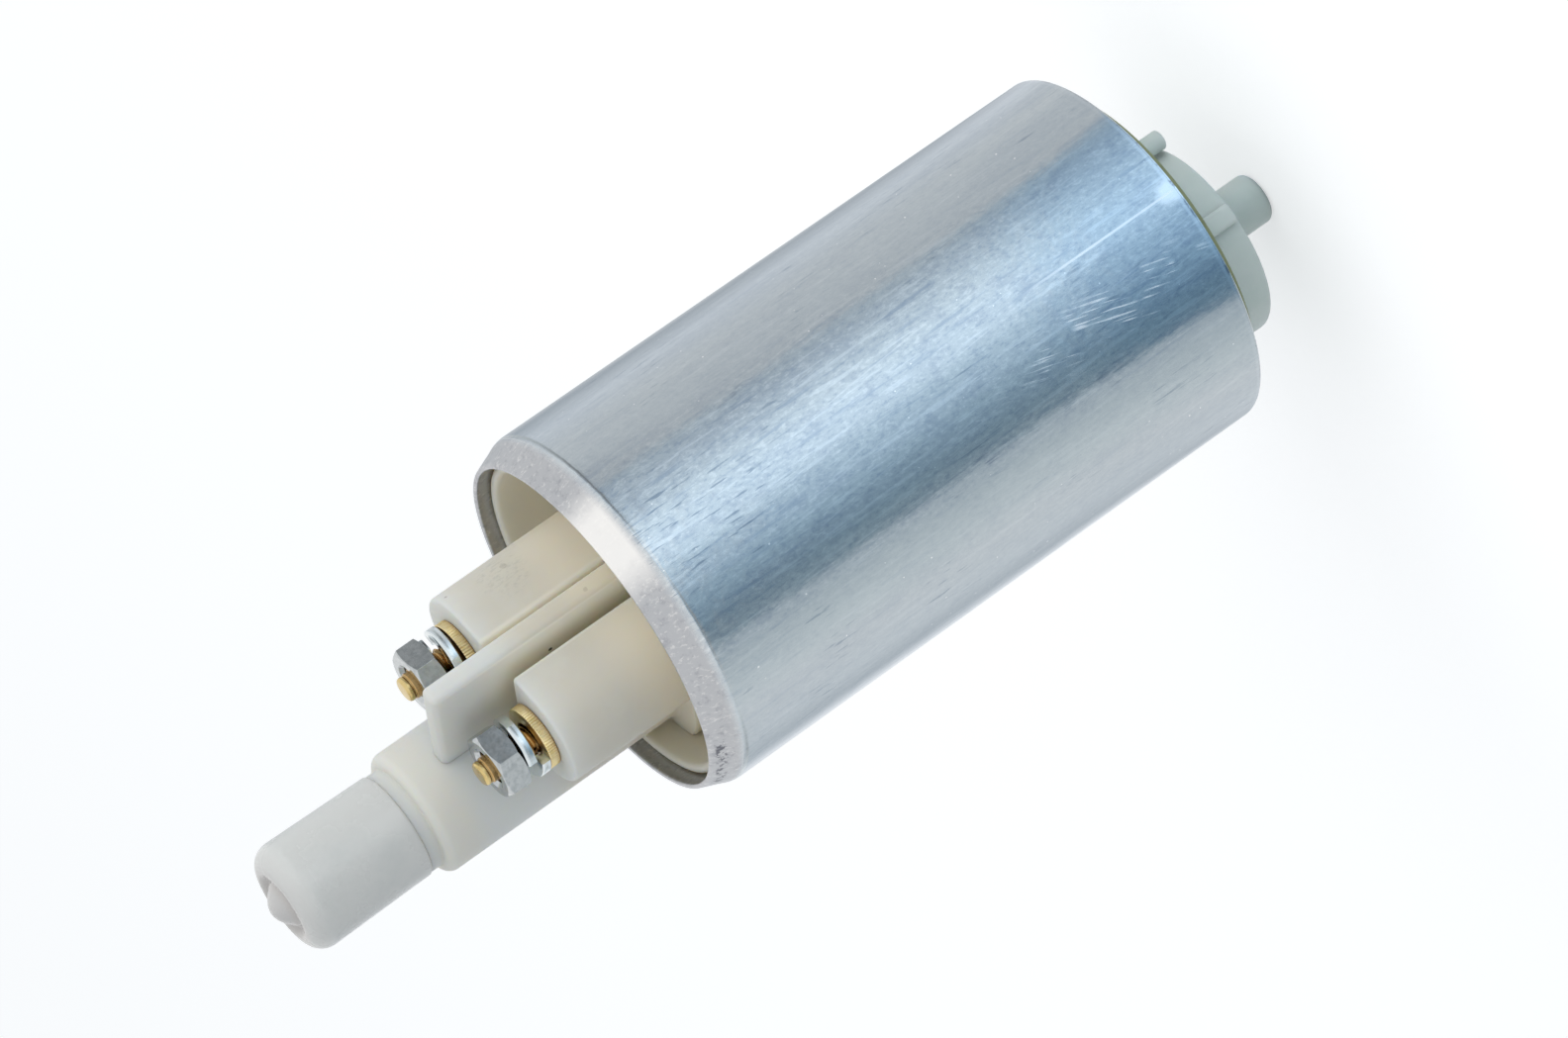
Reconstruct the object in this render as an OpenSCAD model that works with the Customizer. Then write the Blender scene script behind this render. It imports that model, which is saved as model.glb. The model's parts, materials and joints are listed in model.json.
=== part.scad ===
// In-tank electric fuel pump, millimetres.
// It stands as it does in the tank: +Z is the pump's axis, from the inlet end up to the outlet end.
// The origin is on the axis, at the middle of the can's straight wall.
// +X runs from the negative to the positive terminal, and the outlet tube stands on the -Y side.

/* [Can] */
// Outside diameter of the can
can_d = 43; // [42:0.5:46]
// Length of the can's straight wall
can_len = 70; // [67:1:84]
// Thickness of the can's wall
can_wall = 1.5; // [1.2:0.1:1.8]
// Height of the tapered lip at the outlet end
lip_h = 3.2; // [2.8:0.1:3.8]
// How far the lip's opening lies inside the can's outer face
lip_in = 1.9; // [1.7:0.05:2.2]
// Thickness of the shoulder turned in at the inlet end
foot_t = 1.5; // [1.2:0.1:2]
// How far that shoulder reaches in from the bore
foot_in = 1; // [0.8:0.1:1.2]

/* [Outlet cover] */
// Depth of the outlet cover below the can's straight wall
cover_depth = 23; // [22:0.5:25]
// Height of the open skirt at the cover's lower end
skirt_h = 8; // [7:0.5:9]
// Thickness of the skirt
skirt_t = 2.5; // [2:0.1:3]
// Thickness of the cup's rim wall
cup_rim_t = 1.1; // [0.9:0.1:1.4]
// How far the cup's rim lies below the lip
cup_drop = 1.6; // [1.2:0.1:2]
// Depth of the ring-shaped recess inside the rim
cup_depth = 7; // [5:0.5:7.5]

/* [Terminals] */
// Distance between the two studs
stud_gap = 13; // [12.8:0.1:13.6]
// Width of each terminal tower
tower_w = 12.3; // [11.6:0.1:12.6]
// Height of the towers above the can's lip
tower_h = 11.6; // [10:0.2:14]
// Thickness of the roof over each tower's spring chamber
tower_roof = 4; // [3.4:0.2:4.6]
// Thickness of the wall between the towers
web_t = 2.4; // [2:0.1:2.8]
// Gap between that wall and each tower
web_gap = 1.4; // [1:0.1:1.6]
// How far the wall stands out beyond the line of the studs
web_reach = 8.4; // [7:0.2:10]
// Height of the wall above the towers
web_h = 8.7; // [7.8:0.1:10]
// Diameter of the stud's thread
stud_d = 4; // [3.6:0.2:4]
// Diameter of the stud's plain tip
tip_d = 2.8; // [2:0.2:3]
// Length of the plain tip
tip_h = 0.8; // [0.6:0.1:1.2]
// Length of thread between the nut and the tip
thread_out = 0.4; // [0.2:0.1:1]
// Diameter of the brass contact disc
disc_d = 7.4; // [7:0.1:8]
// Thickness of the brass contact disc
disc_t = 1.2; // [0.8:0.1:1.6]
// Outside diameter of the spring washer
washer_d = 7.6; // [7:0.1:8]
// Thickness of the spring washer
washer_t = 1.1; // [0.9:0.1:1.2]
// Height of the spring washer when it isn't squeezed
washer_free = 2.5; // [2.2:0.1:2.6]
// Width across the flats of the nut
nut_af = 7; // [6.8:0.1:7.4]
// Height of the nut
nut_t = 2.9; // [2.8:0.1:3.6]

/* [Outlet tube] */
// Outside diameter of the outlet tube
tube_d = 14.6; // [14:0.2:15]
// Gap between the outlet tube and the can's lip
tube_gap = 0.8; // [0.6:0.1:1]
// Height of the tube's shoulder above the can's lip
collar_h = 24.9; // [24.6:0.1:27]
// Rounding of the shoulder's edge
collar_edge = 1.3; // [0.8:0.1:1.4]
// Diameter of the neck between the shoulder and the nozzle
neck_d = 12; // [11.6:0.1:12.2]
// Height of the neck
neck_h = 1.4; // [1:0.1:2]
// Diameter of the hose nozzle over its barbs
nozzle_d = 9; // [8.6:0.1:9.2]
// Length of the hose nozzle
nozzle_len = 12.7; // [11.7:0.1:13]
// Height of the nozzle's two hose barbs
barb = 0.4; // [0.2:0.05:0.5]
// Diameter of the nozzle's bore
nozzle_bore = 5; // [4:0.2:5.4]
// Diameter of the valve chamber inside the tube
chamber_d = 9.2; // [9:0.1:9.6]

/* [Transport cap] */
// Outside diameter of the cap
cap_d = 12.7; // [12.6:0.1:13]
// Length of the cap up to its rim
cap_len = 14.9; // [14.7:0.1:16.2]
// How much the cap narrows towards its open end, in radius
cap_taper = 0.2; // [0:0.05:0.25]
// Rounding at the cap's closed end
cap_corner = 2.3; // [1.6:0.1:2.5]
// Diameter of the moulded nib in the middle of the closed end
nib_d = 5.8; // [5:0.2:6.2]
// How far the nib stands above the rim
nib_h = 1.4; // [1:0.1:2]

/* [Inlet cover] */
// Thickness of the flange inside the can
flange_t = 2.5; // [2:0.1:3.5]
// How far the cover's end face stands below the can
face_drop = 0.8; // [0.5:0.1:1.2]
// Diameter of the round boss that carries the strainer
boss_d = 23; // [22:0.5:25]
// Distance of the boss from the pump's axis
boss_x = 3.7; // [3.4:0.1:4.2]
// Height of the boss below the can
boss_h = 6.8; // [6:0.2:8]
// Diameter of the strainer post
post_d = 5.9; // [5.4:0.1:6.4]
// Distance of the post from the pump's axis
post_x = 3.4; // [3:0.1:4]
// Length of the strainer post
post_len = 7.9; // [6:0.1:10]
// Diameter of the locating peg
peg_d = 2.3; // [2:0.1:3]
// Length of the locating peg below the can
peg_h = 6.7; // [5:0.1:8]
// Width of the key rib on the boss
key_w = 2.3; // [1.8:0.1:3]
// How far the key rib stands out from the boss
key_out = 1; // [0.6:0.1:1.4]
// Width of the two inlet windows round the post
window_w = 3.6; // [3:0.1:3.8]
// Width of the sealing ring in the can's shoulder
seal_w = 0.9; // [0.8:0.1:1.2]

/* [Pumping section] */
// Thickness of the plate with the inlet port
port_plate_t = 4; // [3.6:0.1:5]
// Thickness of the ring round the rotors
ring_t = 8; // [6:0.5:9]
// Thinnest wall of that ring
ring_wall = 2.35; // [2.2:0.05:2.6]
// Thickness of the plate that holds the lower bearing
bearing_plate_t = 5; // [4.5:0.1:6]
// Number of lobes on the inner rotor
lobes = 6; // [5, 6, 7]
// Radius of the outer rotor's round teeth, as a share of the circle they stand on
tooth_share = 0.26; // [0.24:0.01:0.27]
// How far the rotors' rolling curve keeps from a cusp, over 1
roll_ratio = 1.29; // [1.26:0.01:1.4]
// Thinnest wall of the outer rotor
outer_rotor_wall = 3; // [2.6:0.1:3.4]
// Diameter of the drive coupling
coupling_d = 8; // [7.6:0.1:8.6]

/* [Motor] */
// Diameter of the armature's core
core_d = 28.4; // [27:0.2:29]
// Gap between the armature and the magnets
air_gap = 0.5; // [0.4:0.1:0.9]
// Number of slots in the armature's core
slots = 12; // [8, 10, 12]
// Angle that each magnet spans
magnet_angle = 124; // [110:2:130]
// Diameter of the motor's shaft
shaft_d = 5; // [4.6:0.1:5.2]
// Diameter of the shaft's upper journal
journal_d = 4; // [3.6:0.1:4.2]
// Length of the upper bearing
upper_bearing_t = 5; // [4:0.5:5.5]
// Diameter of the commutator
commutator_d = 18.6; // [18.2:0.2:20]
// Width of the brushes along the line of the studs
brush_x = 5; // [4.6:0.1:5.2]
// Width of the brushes across that line
brush_y = 6; // [5:0.1:6.2]
// Length of the brushes
brush_len = 9; // [8:0.5:9.5]

/* [Valves] */
// Lift of the outlet check valve
check_lift = 2; // [1.5:0.1:2.5]
// Diameter of the relief valve's ball
ball_d = 3.8; // [3.4:0.1:4]
// Lift of the relief valve's ball
relief_lift = 1; // [0.6:0.1:1.1]

/* [Fits] */
// Radial gap of parts that are pushed together
seat = 0.05; // [0.02:0.01:0.08]
// Radial gap of turning fits
run = 0.03; // [0.02:0.01:0.06]
// Gap on each side of a sliding brush
slide = 0.1; // [0.05:0.05:0.15]
// Gap between the lobes of the two rotors
mesh = 0.06; // [0.04:0.01:0.1]

/* [Hidden] */
$fn = 64;
tiny = 0.01;

// Can
can_r = can_d / 2;
bore_r = can_r - can_wall;
z_foot = -can_len / 2;
z_wall = can_len / 2;
z_lip = z_wall + lip_h;
lip_r = can_r - lip_in;
lip_edge = 0.35;
foot_r = bore_r - foot_in;

// Stack of the pumping section, from the inlet end up
fit_r = bore_r - 0.1;
z_flange = z_foot + foot_t;
z_port = z_flange + flange_t;
z_ring = z_port + port_plate_t;
z_plate = z_ring + ring_t;
z_motor = z_plate + bearing_plate_t;

// Outlet cover
z_skirt = z_wall - cover_depth;
z_web = z_skirt + skirt_h;
z_cup_rim = z_lip - cup_drop;
z_cup = z_cup_rim - cup_depth;
cup_r = lip_r - 0.2;
z_shoulder = z_wall - 0.2;
outlet_seal_r = 1;
ring_groove = 2 * outlet_seal_r + 0.1;
z_groove = z_web + skirt_h / 2 + 1;

// Terminals
stud_x = stud_gap / 2;
tower_r = tower_w / 2;
tower_flat = web_t / 2 + web_gap;
z_tower = z_lip + tower_h;
z_chamber_roof = z_tower - tower_roof;
z_disc = z_tower + disc_t;
z_washer = z_disc + washer_free;
z_nut = z_washer + nut_t;
z_stud = z_nut + thread_out + tip_h;
stud_head_t = 2;
chamber_r = 3.1;

// Outlet tube, nozzle and cap
tube_r = tube_d / 2;
outlet_y = -(lip_r - tube_gap - tube_r);
z_collar = z_lip + collar_h;
z_neck = z_collar + neck_h;
z_nozzle = z_neck + nozzle_len;
z_cap = z_neck + 0.1;
z_cap_rim = z_cap + cap_len;
cap_r = cap_d / 2;
cap_bore_r = nozzle_d / 2 + seat;
tube_foot = 3;
tube_foot_h = cup_depth / 2;

// Inlet cover
z_face = z_foot - face_drop;
z_boss = z_foot - boss_h;
boss_r = boss_d / 2;
register_r = foot_r - seal_w - seat;
boss_wall = 2.1;
boss_floor = 1.6;
peg_angle = 122;
key_angle = 65;

// Rotors: the outer one has one more tooth than the inner one has lobes
teeth = lobes + 1;
roll_r = (fit_r - ring_wall - seat - outer_rotor_wall) / (1 + 3 / (roll_ratio * teeth) - tooth_share);
// Distance between the axes of the two rotors
rotor_offset = round(20 * roll_r / (teeth * roll_ratio)) / 20;
tooth_r = round(10 * roll_r * tooth_share) / 10;
rotor_r = fit_r - ring_wall - rotor_offset - seat;
tooth_root_r = rotor_r - outer_rotor_wall;
tooth_circle_r = tooth_root_r - 2 * rotor_offset + tooth_r;
rotor_gap = 0.05;
points_per_lobe = 24;
port_mid_r = tooth_circle_r - tooth_r + rotor_offset / 4;
port_w = 3;
screw_circle_r = fit_r - 2.6;
screw_angles = [-90, -20, 200];

// Motor
core_r = core_d / 2;
magnet_r = core_r + air_gap;
shaft_r = shaft_d / 2;
journal_r = journal_d / 2;
z_bars = z_web - 3;
bars_t = 1.6;
insulator_t = 0.8;
end_turn_t = 2.2;
z_core_low = z_motor + end_turn_t + insulator_t + 0.5;
z_core_high = z_skirt - 3.5;
z_turns_high = z_core_high + insulator_t + end_turn_t;
slot_r = 1.9;
slot_ring_r = core_r - 3.2;
slot_mouth = 2;
thrust_t = 0.5;
z_journal = z_web - thrust_t - 0.1;
bearing_wall = 1.25;
lower_bearing_wall = 2;
hub_r = shaft_r + 1.9;

// Brushes: each one slides up into its tower as far as this
brush_travel = 3;
brush_gap = 0.05;
z_brush = z_bars + brush_gap;
z_brush_top = z_brush + brush_len;
z_spring_top = z_chamber_roof - stud_head_t;
brush_spring_r = 2.2;
brush_wire_r = 0.3;
lead_r = 0.5;

// Check valve in the outlet tube
chamber_bore_r = chamber_d / 2;
z_check_seat = z_web + 10;
check_seat_t = 4;
check_head_t = 2.5;
z_check_head = z_check_seat + check_seat_t + tiny;
z_check_spring = z_check_head + check_head_t;
z_check_guide = z_check_spring + 10;
check_guide_t = 2.5;
check_head_r = chamber_bore_r * 0.8;
check_hole_r = chamber_bore_r * 0.56;
check_stem_r = chamber_bore_r * 0.24;
check_spring_r = check_stem_r + 1;

// Relief valve in the web of the outlet cover
relief_r = ball_d / 2 + 0.8;
relief_y = cup_r - cup_rim_t - relief_r - 3.4;
relief_seat_t = 2;
relief_hole_r = 1.3;
z_relief_roof = z_cup - 1.2;
ball_r = ball_d / 2;
z_ball = z_web + relief_seat_t + sqrt(ball_r * ball_r - relief_hole_r * relief_hole_r) + 0.02;

// A hollow cylinder from z0 up to z1
module ring(r_out, r_in, z0, z1) {
    translate([0, 0, z0])
        difference() {
            cylinder(r = r_out, h = z1 - z0);
            translate([0, 0, -1]) cylinder(r = r_in, h = z1 - z0 + 2);
        }
}

// A round bar from z0 up to z1
module bar(r, z0, z1) {
    translate([0, 0, z0]) cylinder(r = r, h = z1 - z0);
}

// Part of a flat ring, centred on +X
module arc_2d(r_out, r_in, angle) {
    far = 2 * r_out;
    difference() {
        intersection() {
            circle(r = r_out);
            polygon([[0, 0],
                     [far * cos(angle / 2), -far * sin(angle / 2)],
                     [far, -far],
                     [far, far],
                     [far * cos(angle / 2), far * sin(angle / 2)]]);
        }
        circle(r = r_in);
    }
}

// A kidney-shaped slot, centred on +X
module kidney_2d(r, w, angle) {
    arc_2d(r + w / 2, r - w / 2, angle);
    for (side = [-1, 1])
        rotate(side * angle / 2) translate([r, 0]) circle(d = w);
}

// A coil spring: one round wire wound from z0 up to z1 about its own axis
module coil_spring(r, wire_r, z0, z1, turns, steps = 12, sides = 6) {
    rings = round(turns * steps);
    low = z0 + wire_r + tiny;
    rise = z1 - z0 - 2 * wire_r - 2 * tiny;
    // The two end turns lie closer together, as ground end turns do
    function lift(k) = low + rise * (k - sin(360 * k) * 0.1);
    points = [for (i = [0:rings]) for (j = [0:sides - 1])
        let (turn = 360 * turns * i / rings,
             a = 360 * j / sides,
             rr = r + wire_r * cos(a))
        [rr * cos(turn), rr * sin(turn), lift(i / rings) + wire_r * sin(a)]];
    skin = [for (i = [0:rings - 1]) for (j = [0:sides - 1])
        let (a = i * sides + j,
             b = i * sides + (j + 1) % sides)
        each [[a, a + sides, b], [b, a + sides, b + sides]]];
    low_end = [for (j = [1:sides - 2]) [0, j, j + 1]];
    last = rings * sides;
    high_end = [for (j = [1:sides - 2]) [last, last + j + 1, last + j]];
    polyhedron(points = points, faces = concat(skin, low_end, high_end));
}

// Can: a tube with a shoulder turned in at the foot and a tapered lip rolled in at the top
module can() {
    crown = 0.12;
    color("lightsteelblue")
        rotate_extrude($fn = 128)
            polygon([[foot_r, z_foot],
                     [can_r - 0.3, z_foot],
                     [can_r, z_foot + 0.3],
                     [can_r, z_wall],
                     [(can_r + lip_r + lip_edge) / 2 + crown, z_wall + (lip_h - lip_edge) / 2],
                     [lip_r + lip_edge, z_lip - lip_edge],
                     [lip_r + lip_edge * 0.7, z_lip - lip_edge * 0.3],
                     [lip_r + lip_edge * 0.3, z_lip],
                     [lip_r, z_lip - lip_edge * 0.3],
                     [lip_r, z_wall + 0.9],
                     [bore_r, z_wall + 0.2],
                     [bore_r, z_flange],
                     [foot_r, z_flange]]);
}

// Outline of one terminal tower: a flat towards the wall and a round back
module tower_2d() {
    translate([tower_flat, -tower_r]) square([stud_x - tower_flat, tower_w]);
    translate([stud_x, 0]) circle(r = tower_r);
}

module tower_block() {
    intersection() {
        translate([0, 0, z_cup - 1]) linear_extrude(z_tower - z_cup + 1) tower_2d();
        translate([tower_flat, -tower_w, z_cup - 1]) cube([2 * tower_w, 2 * tower_w, z_tower]);
    }
}

// The room inside a tower: a square guide for the brush, and a round chamber for its spring
module tower_room() {
    translate([stud_x, 0, 0]) {
        translate([-brush_x / 2 - slide, -brush_y / 2 - slide, z_web - 1])
            cube([brush_x + 2 * slide, brush_y + 2 * slide, z_brush_top + brush_travel + 1.5 - z_web]);
        bar(chamber_r, z_brush_top, z_chamber_roof);
        bar(stud_d / 2, z_chamber_roof - 1, z_tower + 1);
    }
}

module outlet_nozzle() {
    // Shoulder with a rounded edge, neck, and a nozzle with two barbs
    rotate_extrude()
        polygon(concat([[0, z_collar], [0, z_cup - 1], [tube_r, z_cup - 1]],
                       [for (a = [0:15:90])
                           [tube_r - collar_edge + collar_edge * cos(a),
                            z_collar - collar_edge + collar_edge * sin(a)]]));
    bar(neck_d / 2, z_collar - 1, z_neck);
    crest_r = nozzle_d / 2;
    root_r = crest_r - barb;
    rotate_extrude()
        polygon([[0, z_neck - 1],
                 [root_r, z_neck - 1],
                 [root_r, z_nozzle - 8.2],
                 [crest_r, z_nozzle - 7.8],
                 [crest_r, z_nozzle - 7.3],
                 [root_r, z_nozzle - 4.6],
                 [root_r, z_nozzle - 4.1],
                 [crest_r, z_nozzle - 3.7],
                 [crest_r, z_nozzle - 3.2],
                 [root_r - 0.2, z_nozzle],
                 [0, z_nozzle]]);
}

// Outlet cover: skirt, web, cup with its rim, towers, wall and outlet tube in one moulding
module outlet_cover() {
    color("antiquewhite")
        difference() {
            union() {
                bar(fit_r, z_skirt, z_shoulder - 0.7);
                translate([0, 0, z_shoulder - 0.7]) cylinder(r1 = fit_r, r2 = cup_r, h = 0.7);
                ring(cup_r, cup_r - cup_rim_t, z_shoulder - 1, z_cup_rim - cup_rim_t / 2);
                translate([0, 0, z_cup_rim - cup_rim_t / 2])
                    rotate_extrude()
                        translate([cup_r - cup_rim_t / 2, 0])
                            intersection() {
                                circle(d = cup_rim_t, $fn = 24);
                                translate([-cup_rim_t, -tiny]) square(2 * cup_rim_t);
                            }
            }
            bar(fit_r - skirt_t, z_skirt - 1, z_web);
            bar(cup_r - cup_rim_t, z_cup, z_lip);
            ring(fit_r + 1, bore_r - ring_groove, z_groove, z_groove + 2.4 * outlet_seal_r);
            cover_bores();
            for (side = [0, 180]) rotate(side) tower_room();
        }
    color("antiquewhite")
        difference() {
            union() {
                for (side = [0, 180]) rotate(side) tower_block();
                translate([-web_t / 2, outlet_y, z_cup - 1])
                    cube([web_t, web_reach - outlet_y, z_tower + web_h - z_cup + 1]);
                translate([0, outlet_y, 0]) outlet_nozzle();
                intersection() {
                    translate([0, outlet_y, 0]) bar(tube_r + tube_foot, z_cup - 1, z_cup + tube_foot_h);
                    bar(cup_r - cup_rim_t / 2, z_cup - 1, z_cup_rim);
                }
            }
            cover_bores();
            for (side = [0, 180]) rotate(side) tower_room();
        }
}

// Everything that is bored through the cover, apart from the rooms in the towers
module cover_bores() {
    // Pocket of the upper bearing, with room for the end of the shaft
    bar(journal_r + bearing_wall + seat, z_web - 1, z_web + upper_bearing_t);
    bar(journal_r + 0.3, z_web, z_web + upper_bearing_t + 1.5);
    // Way out through the check valve's chamber and the nozzle
    translate([0, outlet_y, 0]) {
        bar(chamber_bore_r, z_web - 1, z_check_guide + check_guide_t);
        bar(chamber_bore_r - 1, z_web, z_check_guide + check_guide_t + 6);
        bar(nozzle_bore / 2, z_web, z_nozzle + 1);
    }
    // Pocket of the relief valve, with a vent into the cup
    translate([0, relief_y, 0]) {
        bar(relief_r, z_web - 1, z_relief_roof);
        bar(0.8, z_web, z_cup + 1);
    }
}

// Transport cap: a thimble with a rounded end, a shallow groove and a nib in the middle
module outlet_cap() {
    open_r = cap_r - cap_taper;
    crest_r = cap_r - cap_corner;
    nib_r = nib_d / 2;
    z_groove = z_cap_rim - 0.35;
    end_t = 1.4;
    color("gainsboro")
        translate([0, outlet_y, 0])
            rotate_extrude($fn = 96)
                polygon(concat(
                    [[0, z_cap_rim - end_t],
                     [cap_bore_r, z_cap_rim - end_t],
                     [cap_bore_r, z_cap + 0.3],
                     [cap_bore_r + 0.3, z_cap],
                     [open_r - 0.4, z_cap],
                     [open_r, z_cap + 0.4]],
                    [for (a = [0:15:90])
                        [crest_r + cap_corner * cos(a), z_cap_rim - cap_corner + cap_corner * sin(a)]],
                    [[(crest_r + nib_r) / 2 + 0.2, z_groove + 0.1],
                     [nib_r, z_groove]],
                    [for (a = [15:15:90])
                        [nib_r * cos(a), z_groove + (nib_h + z_cap_rim - z_groove) * (1 - pow(cos(a), 1.4))]]));
}

// Stud: a head under the tower's roof, the threaded shank and a plain tip
module terminal_stud() {
    color("goldenrod") {
        bar(chamber_r - seat, z_spring_top, z_chamber_roof);
        bar(stud_d / 2, z_chamber_roof - tiny, z_stud - tip_h);
        translate([0, 0, z_stud - tip_h])
            rotate_extrude()
                polygon([[0, -tiny],
                         [tip_d / 2, -tiny],
                         [tip_d / 2, tip_h - 0.2],
                         [tip_d / 2 - 0.2, tip_h],
                         [0, tip_h]]);
    }
}

module positive_stud() {
    translate([stud_x, 0, 0]) terminal_stud();
}

module negative_stud() {
    translate([-stud_x, 0, 0]) terminal_stud();
}

module contact_discs() {
    color("gold")
        for (side = [-1, 1])
            translate([side * stud_x, 0, 0])
                difference() {
                    rotate_extrude()
                        polygon([[0, z_tower],
                                 [disc_d / 2 - 0.15, z_tower],
                                 [disc_d / 2, z_tower + 0.15],
                                 [disc_d / 2, z_disc - 0.15],
                                 [disc_d / 2 - 0.15, z_disc],
                                 [0, z_disc]]);
                    bar(stud_d / 2 + seat, z_tower - 1, z_disc + 1);
                }
}

// Spring washer: a square wire, split, wound left-hand so that its ends bite when the nut loosens
module split_washer() {
    r_in = stud_d / 2 + 0.2;
    r_out = washer_d / 2;
    steps = 28;
    split = 12;
    climb = washer_free - washer_t;
    ends = [for (i = [0:steps])
        let (a = split / 2 + (360 - split) * i / steps,
             z = climb * (1 - i / steps))
        each [[r_in * cos(a), r_in * sin(a), z],
              [r_out * cos(a), r_out * sin(a), z],
              [r_out * cos(a), r_out * sin(a), z + washer_t],
              [r_in * cos(a), r_in * sin(a), z + washer_t]]];
    skin = [for (i = [0:steps - 1]) for (j = [0:3])
        let (a = 4 * i + j,
             b = 4 * i + (j + 1) % 4)
        each [[a, a + 4, b], [b, a + 4, b + 4]]];
    last = 4 * steps;
    polyhedron(points = ends,
               faces = concat(skin,
                              [[0, 1, 2], [0, 2, 3]],
                              [[last, last + 2, last + 1], [last, last + 3, last + 2]]));
}

module spring_washers() {
    color("silver") {
        translate([stud_x, 0, z_disc]) rotate(20) split_washer();
        translate([-stud_x, 0, z_disc]) rotate(175) split_washer();
    }
}

// Nut: a hexagon with both ends turned to a cone
module hex_nut() {
    corner_r = nut_af / sqrt(3);
    bevel = (corner_r - nut_af / 2) * 0.6;
    difference() {
        intersection() {
            cylinder(r = corner_r, h = nut_t, $fn = 6);
            rotate_extrude()
                polygon([[0, 0],
                         [nut_af / 2, 0],
                         [corner_r, bevel],
                         [corner_r, nut_t - bevel],
                         [nut_af / 2, nut_t],
                         [0, nut_t]]);
        }
        translate([0, 0, -1]) cylinder(d = stud_d, h = nut_t + 2);
        translate([0, 0, nut_t - 0.35]) cylinder(d1 = stud_d, d2 = stud_d + 0.8, h = 0.36);
    }
}

module terminal_nuts() {
    color("lightgray") {
        translate([stud_x, 0, z_washer]) rotate(59) hex_nut();
        translate([-stud_x, 0, z_washer]) rotate(16) hex_nut();
    }
}

// Inlet cover: flange, end face, hollow boss with two inlet windows, post, peg and key rib
module inlet_cover() {
    chamber = boss_r - boss_wall;
    // Windows as far from the post as from the chamber's wall
    window_r = (post_d / 2 + chamber) / 2;
    color("honeydew")
        difference() {
            union() {
                bar(fit_r, z_flange, z_port);
                bar(register_r, z_face, z_flange + tiny);
                translate([boss_x, 0, 0]) bar(boss_r - 0.4, z_boss, z_face);
                translate([boss_x, 0, 0]) bar(boss_r, z_boss + 0.4, z_face + tiny);
                translate([boss_x, 0, z_boss + 0.4]) rotate(key_angle)
                    translate([0, -key_w / 2, 0]) cube([boss_r + key_out, key_w, boss_h - face_drop - 0.4]);
                translate([post_x, 0, 0]) {
                    bar(post_d / 2, z_boss - post_len + 0.5, z_boss + boss_floor);
                    translate([0, 0, z_boss - post_len])
                        cylinder(r1 = post_d / 2 - 0.5, r2 = post_d / 2, h = 0.5);
                }
                translate([boss_x, 0, 0]) rotate(peg_angle)
                    translate([boss_r + peg_d / 2 + 0.3, 0, 0]) {
                        bar(peg_d / 2, z_foot - peg_h + 0.25, z_face + tiny);
                        translate([0, 0, z_foot - peg_h])
                            cylinder(r1 = peg_d / 2 - 0.25, r2 = peg_d / 2, h = 0.25);
                    }
            }
            translate([boss_x, 0, 0]) {
                bar(chamber, z_boss + boss_floor, z_port + 1);
                translate([0, 0, z_boss - 1])
                    linear_extrude(boss_floor + 2)
                        for (side = [0, 180]) rotate(side) kidney_2d(window_r, window_w, 90);
            }
        }
}

module inlet_seal() {
    color("darkkhaki")
        rotate_extrude()
            polygon([[register_r + seat, z_flange],
                     [register_r + seat, z_face - 0.2],
                     [register_r + seat + 0.3, z_face - 0.5],
                     [foot_r - seat - 0.2, z_face - 0.5],
                     [foot_r - seat, z_face - 0.3],
                     [foot_r - seat, z_flange]]);
}

module outlet_seal() {
    color("dimgray")
        translate([0, 0, z_groove + 1.2 * outlet_seal_r])
            rotate_extrude() translate([bore_r - outlet_seal_r - 0.02, 0]) circle(r = outlet_seal_r, $fn = 24);
}

// Magnets: two ferrite arcs against the can, between the bearing plate and the cover's skirt
module magnet() {
    translate([0, 0, z_motor])
        linear_extrude(z_skirt - z_motor) arc_2d(fit_r, magnet_r, magnet_angle);
}

module magnet_north() {
    color("dimgray") magnet();
}

module magnet_south() {
    color("darkslategray") rotate(180) magnet();
}

// Clips: bent spring steel against the can, with a leg along the edge of each magnet
module magnet_clips() {
    clip_t = 0.6;
    // Legs stand clear of the magnets' edges by half of the clip's thickness
    leg_angle = 90 - magnet_angle / 2 - asin((clip_t + 0.1) / magnet_r);
    color("steelblue")
        for (side = [90, -90])
            rotate(side)
                translate([0, 0, z_motor + 1])
                    linear_extrude(z_skirt - z_motor - 2) {
                        arc_2d(fit_r, fit_r - clip_t, 2 * leg_angle);
                        for (hand = [-1, 1])
                            rotate(hand * leg_angle)
                                translate([magnet_r + 0.5, -clip_t / 2])
                                    square([fit_r - clip_t / 2 - magnet_r - 0.5, clip_t]);
                    }
}

// Shaft: two flats at the pump end, a thinner journal at the commutator end
module motor_shaft() {
    z_flats = z_ring + 1.5;
    color("silver") {
        difference() {
            bar(shaft_r, z_flats, z_journal);
            for (side = [0, 180])
                rotate(side)
                    translate([shaft_r * 0.72, -shaft_r, z_flats - 1])
                        cube([shaft_r, shaft_d, z_plate - 0.3 - z_flats + 1]);
        }
        bar(journal_r, z_journal - tiny, z_web + upper_bearing_t - 0.4);
    }
}

module core_2d(r) {
    difference() {
        circle(r = r);
        circle(r = shaft_r);
        for (i = [0:slots - 1])
            rotate((i + 0.5) * 360 / slots) {
                translate([slot_ring_r, 0]) circle(r = slot_r, $fn = 32);
                translate([slot_ring_r, -slot_mouth / 2]) square([core_r, slot_mouth]);
            }
    }
}

module armature_core() {
    color("slategray")
        translate([0, 0, z_core_low]) linear_extrude(z_core_high - z_core_low) core_2d(core_r);
}

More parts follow.
